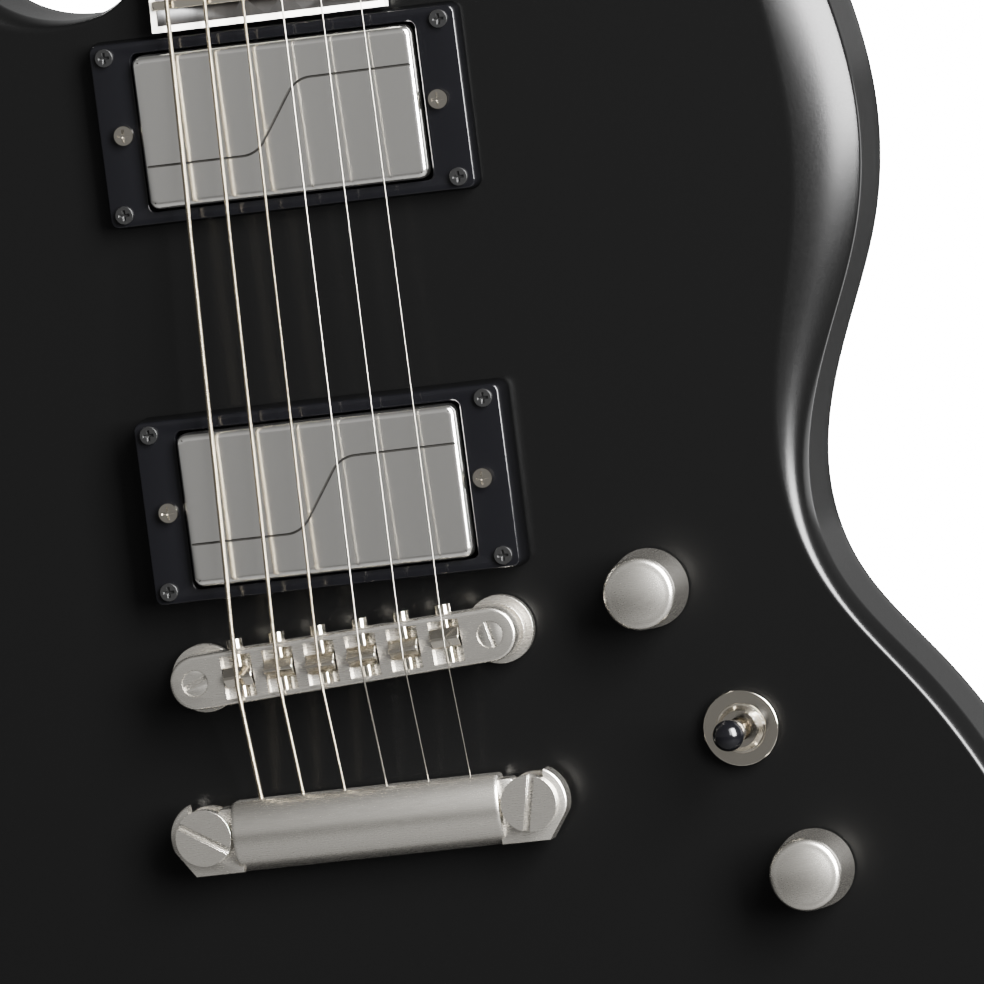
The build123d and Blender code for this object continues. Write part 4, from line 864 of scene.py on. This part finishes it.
        pocket_end = 131.4 + 22.3 - 3.0
        block(0, (pocket_end + 190) / 2, self.heel_half, (190 - pocket_end) / 2, -22.0, 2)
        for place in (131.4, 39.5):
            block(0, place, 36.3, 19.6, -22, 2)
            block(0, place, 43.7, 7.0, -21.9, 2)
        low = -self.thickness
        shapes.append(prism(self.rounded_control(8.0), low - 1, -self.face_wood))
        shapes.append(prism(self.rounded_control(8.0 + self.cover_lip), low - 1, low + self.cover_plate))
        for x, y, radius in ((74.6, 7.8, 4.0), (106.4, -64.0, 4.0), (92.9, -28.2, 6.0)):
            hole(x, y, radius, -self.face_wood - 2, 2)
        seat = self.flank[9][0] - 3.2
        block(seat + 10, -85, 10, 18.2, -27.7, -7.3)
        block(0, -168 + 0.6 - 5, 17, 5, low - 3, 3)
        block(-102, 224 - 1.2 + 5, 17, 5, low - 3, 3)
        return [(self.face.world(points), faces) for points, faces in shapes]

    def build(self) -> None:
        """Builds the body and cuts its cavities."""
        sections = self.sections()
        rows, columns = sections.shape[:2]
        faces = ring_faces(rows, columns)
        faces.append(tuple(range(columns - 1, -1, -1)))
        faces.append(tuple(range((rows - 1) * columns, rows * columns)))
        piece = make_object("body_lacquered", self.face.world(sections), faces, LACQUER)
        carve(piece, self.cutters())
        piece.data.shade_smooth()
        piece.data.set_sharp_from_angle(angle=math.radians(32))
        attach(piece, "root", LACQUER, "body")


# ---------------------------------------------------------------- pickups


@dataclass
class Pickup:
    """Covered pickup in its frame."""

    name: str
    face: Placement
    place: float
    top: float
    ring_height: float
    length: float = 69.6
    width: float = 37.4
    height: float = 13.0
    wall: float = 0.8
    ring_length: float = 91.0
    ring_width: float = 44.6
    play: float = 0.6
    line: tuple = ((-36.0, -8.2), (-6.6, -8.2), (5.2, 9.0), (36.0, 9.2))

    def cover(self) -> None:
        """Builds the drawn cover, hollow, with its scored line."""
        outer = slab_sections(self.length / 2, self.width / 2, 2.4, self.top - self.height, self.top, 1.5)
        inner = slab_sections(
            self.length / 2 - self.wall, self.width / 2 - self.wall, 1.6,
            self.top - self.height, self.top - self.wall, 0.8,
        )
        points, faces = closed_stack(np.concatenate([inner[::-1], outer]))
        piece = make_object(
            f"{self.name}_cover_satin", self.face.world(shift(points, 0, self.place)), faces, SATIN_NICKEL
        )
        corners = np.column_stack([np.array(self.line), np.full(len(self.line), self.top + 0.06)])
        groove = carried_tube(eased_path(corners, 7.0, 12), 0.32, 8)
        carve(piece, [(self.face.world(shift(groove[0], 0, self.place)), groove[1])])
        piece.data.shade_smooth()
        piece.data.set_sharp_from_angle(angle=math.radians(30))
        # the scored line's faces take a darker nickel: painted shade in the groove
        self.paint_groove_shade(piece)
        attach(piece, self.name, SATIN_NICKEL, f"{self.name}_cover")

    def paint_groove_shade(self, piece: bpy.types.Object) -> None:
        """Paints shade into the scored line: its faces, which lie just below the flat top, take a darker nickel."""
        piece.data.materials.append(GROOVE_SHADE_NICKEL.material())
        inside = np.array([self.length / 2, self.width / 2]) - 1.6
        for polygon in piece.data.polygons:
            across, along, out = self.face.local(np.array(polygon.center))
            within = abs(across) < inside[0] and abs(along - self.place) < inside[1]
            if within and 0.005 < self.top - out < 0.5:
                polygon.material_index = 1

    def ring(self) -> None:
        """Builds the moulded frame: an outer and an inner rounded wall joined all round."""
        outer = slab_sections(
            self.ring_length / 2, self.ring_width / 2, 2.0, 0.0, self.ring_height, 0.5, draft=0.6
        )[:-1]
        half_x, half_y = self.length / 2 + self.play, self.width / 2 + self.play
        inner = [slab_section(half_x + 0.4, half_y + 0.4, 2.0, self.ring_height)]
        for angle in np.linspace(0, math.pi / 2, 4)[1:]:
            inward = 0.4 * (1 - math.sin(angle))
            inner.append(
                slab_section(half_x + inward, half_y + inward, 1.6 + inward, self.ring_height - 0.4 * (1 - math.cos(angle)))
            )
        inner.append(slab_section(half_x, half_y, 1.6, 0.0))
        sections = np.concatenate([outer, np.stack(inner), outer[:1]])
        rows, columns = sections.shape[:2]
        points = self.face.world(shift(sections, 0, self.place))
        piece = make_object(f"{self.name}_ring_moulded", points, ring_faces(rows, columns), BLACK_ABS)
        join = bmesh.new()
        join.from_mesh(piece.data)
        bmesh.ops.remove_doubles(join, verts=join.verts, dist=0.001 * MM)
        join.to_mesh(piece.data)
        join.free()
        attach(piece, "root", BLACK_ABS, f"{self.name}_ring")

    def build(self) -> None:
        """Builds the pickup's visible pieces."""
        self.cover()
        self.ring()


# ---------------------------------------------------------------- controls


@dataclass
class Controls:
    """Two turned knobs and a toggle switch."""

    face: Placement
    knob_gap: float = 1.2
    knob_height: float = 15.6
    knob_radius: float = 9.7
    knob_top_radius: float = 8.9
    toggle: tuple = (92.9, -28.2)
    places: dict = field(default_factory=lambda: {"volume": (74.6, 7.8), "tone": (106.4, -64.0)})

    def knob(self, name: str, x: float, y: float) -> None:
        """Turns one knob: hollow below, a tapered side, an eased edge and a low dome."""
        low, high = self.knob_gap, self.knob_gap + self.knob_height
        profile = [(0.8, high - 4), (3.0, high - 4), (3.0, 3.8), (4.8, 3.8), (4.8, high - 4.6)]
        profile += [(7.9, high - 4.6), (7.9, low), (9.4, low), (self.knob_radius, low + 0.3)]
        edge = 1.7
        for angle in np.linspace(0, math.pi / 2, 9):
            radius = self.knob_top_radius - edge * (1 - math.cos(angle))
            profile.append((radius, high - 0.9 - edge + edge * math.sin(angle)))
        crown = self.knob_top_radius - edge
        for share in np.linspace(1, 0.08, 10)[1:]:
            profile.append((crown * share, high - 0.9 * share**2))
        points, faces = closed_stack(turned_sections(profile, 96))
        piece = make_object(f"{name}_knob_turned", self.face.world(shift(points, x, y)), faces, BRUSHED_NICKEL)
        attach(piece, f"{name}_turn", BRUSHED_NICKEL, f"{name}_knob")

    def toggle_tip(self) -> None:
        """Turns the toggle's moulded tip."""
        top, foot = 22.5, 11.5
        profile = [(1.6, foot), (2.6, foot), (3.0, foot + 0.5), (3.8, top - 3.2)]
        for angle in np.linspace(0.1, math.pi / 2 - 0.08, 9):
            profile.append((3.8 * math.cos(angle), top - 3.2 + 3.2 * math.sin(angle)))
        points, faces = closed_stack(turned_sections(profile, 48))
        piece = make_object("toggle_tip_moulded", self.face.world(shift(points, *self.toggle)), faces, BLACK_ABS)
        attach(piece, "toggle", BLACK_ABS, "toggle_tip")

    def build(self) -> None:
        """Builds the knobs and the toggle's tip."""
        for name, (x, y) in self.places.items():
            self.knob(name, x, y)
        self.toggle_tip()


# ---------------------------------------------------------------- tailpiece


@dataclass
class StopTail:
    """Stop tailpiece: an arched bar between two plates that hook on slotted studs."""

    face: Placement
    stud: float = 40.6
    stud_along: float = -40.0
    front: float = -32.4
    rear: float = -49.6
    bottom: float = 3.0
    top: float = 13.4
    plate_top: float = 9.6
    half: float = 33.2
    plate_radius: float = 8.8
    slot: float = 4.0

    def bar_section(self) -> np.ndarray:
        """Bar's section, along and out: an arch on a straight front, foot and rear.

        The arch is a circle's arc through the front edge, the crown and the rear edge.
        """
        first = np.array([self.front, self.top - 3.6])
        last = np.array([self.rear, self.top - 6.4])
        crown = np.array([(self.front + self.rear) / 2 + 1.0, self.top])
        system = 2 * np.array([crown - first, last - first])
        right = np.array([crown @ crown - first @ first, last @ last - first @ first])
        centre = np.linalg.solve(system, right)
        radius = np.linalg.norm(first - centre)
        begin = math.atan2(first[1] - centre[1], first[0] - centre[0])
        end = math.atan2(last[1] - centre[1], last[0] - centre[0])
        angle = np.linspace(begin, end, 40)
        arch = centre + radius * np.stack([np.cos(angle), np.sin(angle)], axis=-1)
        ease = 0.7
        foot = np.array([
            [self.rear, self.top - 7.2], [self.rear, self.bottom + ease], [self.rear + ease, self.bottom],
            [self.front - ease, self.bottom], [self.front, self.bottom + ease], [self.front, self.top - 4.4],
        ])
        return np.concatenate([arch, foot])

    def bar(self) -> tuple[np.ndarray, list[tuple[int, ...]]]:
        """Bar as its section carried across, each end eased inwards."""
        section = self.bar_section()
        middle = section.mean(0)
        rows = []
        for across, draw in ((-self.half, 0.94), (-self.half + 0.25, 0.98), (-self.half + 0.8, 1.0),
                             (self.half - 0.8, 1.0), (self.half - 0.25, 0.98), (self.half, 0.94)):
            ring = middle + (section - middle) * draw
            rows.append(np.column_stack([np.full(len(ring), across), ring]))
        return closed_stack(np.stack(rows))

    def plate(self, side: int) -> tuple[np.ndarray, list[tuple[int, ...]]]:
        """Hooked plate at one end.

        Its plan is a circle about the stud, a corner on the bar's rear edge and a slot open
        towards the bridge. The top edge is eased.
        """
        outer = self.plate_radius * np.stack(
            [np.cos(np.linspace(math.radians(62), math.radians(-20), 30)),
             np.sin(np.linspace(math.radians(62), math.radians(-20), 30))], axis=-1)
        bed = np.linspace(0, -math.pi, 20)
        hook = self.slot * np.stack([np.cos(bed), np.sin(bed)], axis=-1)
        inner = self.half - 1 - self.stud
        plan = np.concatenate([
            outer,
            [[3.7, self.rear - self.stud_along], [inner, self.rear - self.stud_along]],
            [[inner, self.front - self.stud_along - 1.2], [-self.slot - 0.4, self.front - self.stud_along - 1.2]],
            [[-self.slot, self.front - self.stud_along - 1.6]],
            hook[::-1],
            [[self.slot, 7.0]],
        ])
        plan = plan * np.array([side, 1])
        if side > 0:
            plan = plan[::-1]
        middle = np.array([side * inner / 2, -3.0])
        rows = []
        for height, draw in ((self.bottom + 1.0, 1.0), (self.plate_top - 0.35, 1.0), (self.plate_top - 0.1, 0.985),
                             (self.plate_top, 0.965)):
            ring = middle + (plan - middle) * draw
            rows.append(np.column_stack([ring, np.full(len(ring), height)]))
        sections = np.stack(rows)
        count = len(plan)
        faces = ring_faces(len(rows), count)
        faces.append(tuple(range(count - 1, -1, -1)))
        faces.append(tuple(range((len(rows) - 1) * count, len(rows) * count)))
        return shift(sections, side * self.stud, self.stud_along), faces

    def build(self) -> None:
        """Builds the bar and its plates as one piece."""
        points, faces = joined([self.bar(), self.plate(-1), self.plate(1)])
        piece = make_object("stop_tail_brushed", self.face.world(points), faces, BRUSHED_NICKEL, sharp=36)
        attach(piece, "root", BRUSHED_NICKEL, "tailpiece")


# ---------------------------------------------------------------- strings


@dataclass
class StringSet:
    """Six strings, the three thick ones wound, from their balls to their posts."""

    face: Placement
    bridge: Placement
    neck: Placement
    head: Placement
    scale: float = 628.65
    nut_span: float = 35.0
    bridge_span: float = 52.0
    radii: tuple = (0.58, 0.46, 0.33, 0.22, 0.165, 0.13)
    rests: tuple = (-0.1, 0.4, -0.2, -0.1, 0.0, 0.9)
    turns: tuple = (3, 3, 3, 4, 5, 5)
    rows: tuple = (40.0, 82.0, 124.0)
    post_offset: float = 27.0
    winding_height: float = 6.2
    wound: int = 3

    def point(self, i: int, down: float) -> np.ndarray:
        """Point in metres on a string between the nut and its saddle."""
        side = -0.5 + i / (len(self.radii) - 1)
        x = side * (self.nut_span + (self.bridge_span - self.nut_span) * down / self.scale)
        last_fret = 0.75 * self.scale
        lift = 1.7 + 1.2 * down / last_fret
        crown = 305.0
        return self.neck.world(np.array([x, -down, lift - (crown - math.sqrt(crown**2 - x**2))]))

    def crest(self, i: int) -> float:
        """Distance down from the nut at which a string crosses its saddle."""
        down = self.scale
        for _ in range(4):
            down += float(self.bridge.local(self.point(i, down))[1]) - self.rests[i]
        return down

    def build(self) -> None:
        """Builds each string as one tube, with turns round its post."""
        for i, radius in enumerate(self.radii):
            row = i if i < 3 else 5 - i
            side = -1 if i < 3 else 1
            post = np.array([side * self.post_offset, self.rows[row], self.winding_height])
            coil = 2.4 + 0.15 + radius
            lean = self.bridge.local(self.point(i, self.crest(i)))[0]
            behind = 2.3 / math.cos(math.radians(3))
            corners = np.stack(
                [
                    self.face.world(np.array([lean, -38.8, 7.5])),
                    self.face.world(np.array([lean, -32.4, 7.5])),
                    self.point(i, self.crest(i) + behind),
                    self.point(i, -5.0),
                    self.head.world(post + np.array([-side * coil, 0, 0])),
                ]
            ) / MM
            run = eased_path(corners, 3.0)
            points, faces = carried_tube(run, radius)
            parts = [(points * MM, faces)]
            tall = 2 * radius * self.turns[i]
            angle = np.linspace(0, 2 * math.pi * (self.turns[i] - 1), 28 * self.turns[i])
            rise = np.linspace(-tall / 2 + radius, tall / 2 - radius, len(angle))
            helix = np.stack([coil * np.cos(angle), coil * np.sin(angle), rise], axis=-1) + post
            turns, turn_faces = carried_tube(helix, radius, 8)
            parts.append((self.head.world(turns), turn_faces))
            ball = turned_sections([(0.7, -1.3), (1.7, -1.3), (1.9, -1.0), (1.9, 1.0), (1.7, 1.3), (0.7, 1.3)], 32)
            ball_points, ball_faces = closed_stack(ball[..., [0, 2, 1]] * np.array([1, 1, -1]))
            parts.append((self.face.world(shift(ball_points, lean, -38.8, 7.5)), ball_faces))
            finish = WOUND_WIRE if i < self.wound else PLAIN_WIRE
            points, faces = joined(parts)
            piece = make_object(f"string_{i + 1}", points, faces, finish, sharp=50)
            self.unwrap(piece)
            attach(piece, "root", finish, *(["strings"] if i == 0 else []))

    @staticmethod
    def unwrap(piece: bpy.types.Object) -> None:
        """Gives a string a UV map whose second value is its length up the neck in millimetres."""
        mesh = piece.data
        layer = mesh.uv_layers.new(name="length")
        place = np.zeros(len(mesh.vertices) * 3)
        mesh.vertices.foreach_get("co", place)
        corner = np.zeros(len(mesh.loops), int)
        mesh.loops.foreach_get("vertex_index", corner)
        along = place.reshape(-1, 3)[corner][:, 2] / MM
        layer.data.foreach_set("uv", np.column_stack([np.zeros(len(along)), along]).ravel())


# ---------------------------------------------------------------- studio


@dataclass
class Studio:
    """Pale floor, soft lights and the camera."""

    face: Placement
    azimuth: float = 12.319
    elevation: float = 4.2493
    roll: float = 7.3242
    target: tuple = (38.72, 35.02)
    distance: float = 3.6285
    lens: float = 548.8
    floor_height: float = -2.0
    floor_seen: float = 25.0
    floor_fade: tuple = (-14.0, -1.0, 0.2, 0.03)
    sky_fade: tuple = (0.0, 0.8, 0.42, 0.14)

    def floor(self) -> None:
        """Lays a wide pale floor below the hung guitar.

        It glows white to the camera and only faintly in the guitar's reflections, so the black
        lacquer stays black against it.
        """
        half = 120.0
        corners = np.array([[-half, -half, 0], [half, -half, 0], [half, half, 0], [-half, half, 0]])
        material = bpy.data.materials.new("studio_floor")
        material.use_nodes = True
        shader = material.node_tree.nodes["Principled BSDF"]
        shader.inputs["Base Color"].default_value = linear("#3c3c3c")
        shader.inputs["Roughness"].default_value = 0.9
        shader.inputs["Emission Color"].default_value = (1, 1, 1, 1)
        tree = material.node_tree
        place = tree.nodes.new("ShaderNodeTexCoord")
        axes = tree.nodes.new("ShaderNodeSeparateXYZ")
        faint = tree.nodes.new("ShaderNodeMapRange")
        seen = tree.nodes.new("ShaderNodeLightPath")
        glow = tree.nodes.new("ShaderNodeMapRange")
        for name, value in zip(("From Min", "From Max", "To Min", "To Max"), self.floor_fade):
            faint.inputs[name].default_value = value
        glow.inputs["To Max"].default_value = self.floor_seen
        tree.links.new(place.outputs["Object"], axes.inputs["Vector"])
        tree.links.new(axes.outputs["Y"], faint.inputs["Value"])
        tree.links.new(faint.outputs["Result"], glow.inputs["To Min"])
        tree.links.new(seen.outputs["Is Camera Ray"], glow.inputs["Value"])
        tree.links.new(glow.outputs["Result"], shader.inputs["Emission Strength"])
        mesh = bpy.data.meshes.new("studio_floor")
        mesh.from_pydata((corners + np.array([0, 0, self.floor_height])).tolist(), [], [(0, 1, 2, 3)])
        mesh.materials.append(material)
        floor = bpy.data.objects.new("studio_floor", mesh)
        bpy.context.scene.collection.objects.link(floor)

    def panel(self, name: str, place: Vector, aim: Vector, size: tuple[float, float], power: float) -> None:
        """Hangs a soft rectangular light.

        Args:
            name: Its name.
            place: Where it hangs.
            aim: What it points at.
            size: Its width and height in metres.
            power: Its power in watts.
        """
        light = bpy.data.lights.new(name, "AREA")
        light.shape = "RECTANGLE"
        light.size, light.size_y = size
        light.energy = power
        lamp = bpy.data.objects.new(name, light)
        lamp.location = place
        lamp.rotation_mode = "QUATERNION"
        lamp.rotation_quaternion = (aim - place).to_track_quat("-Z", "Y")
        bpy.context.scene.collection.objects.link(lamp)

    def world(self) -> None:
        """Sets a grey surround that darkens overhead."""
        world = bpy.data.worlds.new("studio_surround")
        world.use_nodes = True
        tree = world.node_tree
        background = tree.nodes["Background"]
        background.inputs["Color"].default_value = (1, 1, 1, 1)
        place = tree.nodes.new("ShaderNodeTexCoord")
        axes = tree.nodes.new("ShaderNodeSeparateXYZ")
        fade = tree.nodes.new("ShaderNodeMapRange")
        for name, value in zip(("From Min", "From Max", "To Min", "To Max"), self.sky_fade):
            fade.inputs[name].default_value = value
        tree.links.new(place.outputs["Generated"], axes.inputs["Vector"])
        tree.links.new(axes.outputs["Z"], fade.inputs["Value"])
        tree.links.new(fade.outputs["Result"], background.inputs["Strength"])
        bpy.context.scene.world = world

    def camera(self) -> None:
        """Sets the camera by its angles about a point on the face."""
        around, up = math.radians(self.azimuth), math.radians(self.elevation)
        back = Vector((math.sin(around) * math.cos(up), -math.cos(around) * math.cos(up), math.sin(up)))
        target = Vector(self.face.world(np.array([*self.target, 0.0])))
        lens = bpy.data.cameras.new("camera")
        lens.lens, lens.sensor_width = self.lens, 36.0
        lens.clip_start, lens.clip_end = 0.1, 400.0
        camera = bpy.data.objects.new("camera", lens)
        camera.location = target + back * self.distance
        turn = (-back).to_track_quat("-Z", "Y").to_matrix() @ Matrix.Rotation(-math.radians(self.roll), 3, "Z")
        camera.rotation_mode = "QUATERNION"
        camera.rotation_quaternion = turn.to_quaternion()
        bpy.context.scene.collection.objects.link(camera)
        bpy.context.scene.camera = camera

    def build(self) -> None:
        """Builds the whole studio."""
        self.floor()
        self.world()
        self.camera()
        centre = Vector((0.1, -0.03, -0.55))
        self.panel("side_panel", Vector((2.0, -1.75, 0.35)), centre, (1.25, 2.5), 1500)
        self.panel("fill_panel", Vector((1.3, -2.3, 0.6)), centre, (1.0, 2.0), 150)
        self.panel("back_panel", Vector((-1.9, 1.9, 0.6)), centre, (0.9, 2.0), 120)
        self.panel("low_back_panel", Vector((1.9, 1.8, -1.2)), centre, (2.2, 1.4), 32)


# ---------------------------------------------------------------- the whole


def main() -> None:
    """Builds the guitar round its frame."""
    logging.basicConfig(level=logging.INFO, format="%(name)s: %(message)s")
    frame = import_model()
    ring_low, ring_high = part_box("neck_pickup_ring")
    bar_low, bar_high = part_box("bridge_frame")
    face_y = ring_high.y / MM
    bridge_z = (bar_low.z + bar_high.z) / 2 / MM
    face = leaned((0, face_y, bridge_z), 0)
    bridge = leaned((0, face_y, bridge_z), 0, skew=3.1)
    hang = 10.0
    lean, head_lean = math.radians(3), 12.0
    neck = leaned((0, -hang * math.cos(lean), hang * math.sin(lean)), 3)
    head_origin = neck.world(np.array([0.0, 5.0, -5.5])) / MM
    head = leaned(head_origin, 3 + head_lean)
    BodyShell(face).build()
    Pickup("neck_pickup", face, 131.4, 7.6, 5.0).build()
    Pickup("bridge_pickup", face, 39.5, 12.4, 9.5).build()
    Controls(face).build()
    StopTail(face).build()
    StringSet(face, bridge, neck, head).build()
    for node in ("bridge_frame", "studs"):
        refined(frame, node, "root", BRUSHED_NICKEL, 0.5)
    for node in ("intonation_screws", "height_screws", "panel_nuts", "toggle_frame", "stud_bushings", "jack_socket"):
        refined(frame, node, "root", BRIGHT_NICKEL, 0.15)
    for node in ("tuner_housings", "tuner_fasteners", "jack_plate", "strap_buttons"):
        refined(frame, node, "root", SATIN_NICKEL, 0.3)
    refined(frame, "toggle_lever", "toggle", BRIGHT_NICKEL, 0.0)
    for i in range(1, 7):
        refined(frame, f"saddle_{i}", f"saddle_{i}", BRIGHT_NICKEL, 0.25)
        refined(frame, f"tuner_post_{i}", f"tuner_post_{i}", BRIGHT_NICKEL, 0.2)
        refined(frame, f"tuner_button_{i}", f"tuner_button_{i}", SATIN_NICKEL, 0.3)
    refined(frame, "neck", "root", LACQUER, 0.6)
    refined(frame, "frets", "root", FRET_WIRE, 0.35)
    refined(frame, "nut", "root", BONE, 0.2)
    refined(frame, "fingerboard", "root", EBONY, 0.0)
    refined(frame, "fingerboard_binding", "root", IVORY, 0.0)
    refined(frame, "inlays", "root", PEARL, 0.0)
    refined(frame, "truss_rod_cover", "root", BLACK_ABS, 0.3)
    refined(frame, "control_cover", "root", BLACK_ABS, 0.3)
    refined(frame, "black_screws", "root", BLACK_OXIDE, 0.1)
    dress(frame, STEEL, "truss_rod", "pickup_springs", "volume_shaft", "tone_shaft", "pots")
    dress(frame, PLAIN_BLACK, "neck_pickup_core", "bridge_pickup_core", "volume_slider", "tone_slider")
    dress(frame, JACKET, "battery")
    Studio(face).build()


if __name__ == "__main__":
    main()
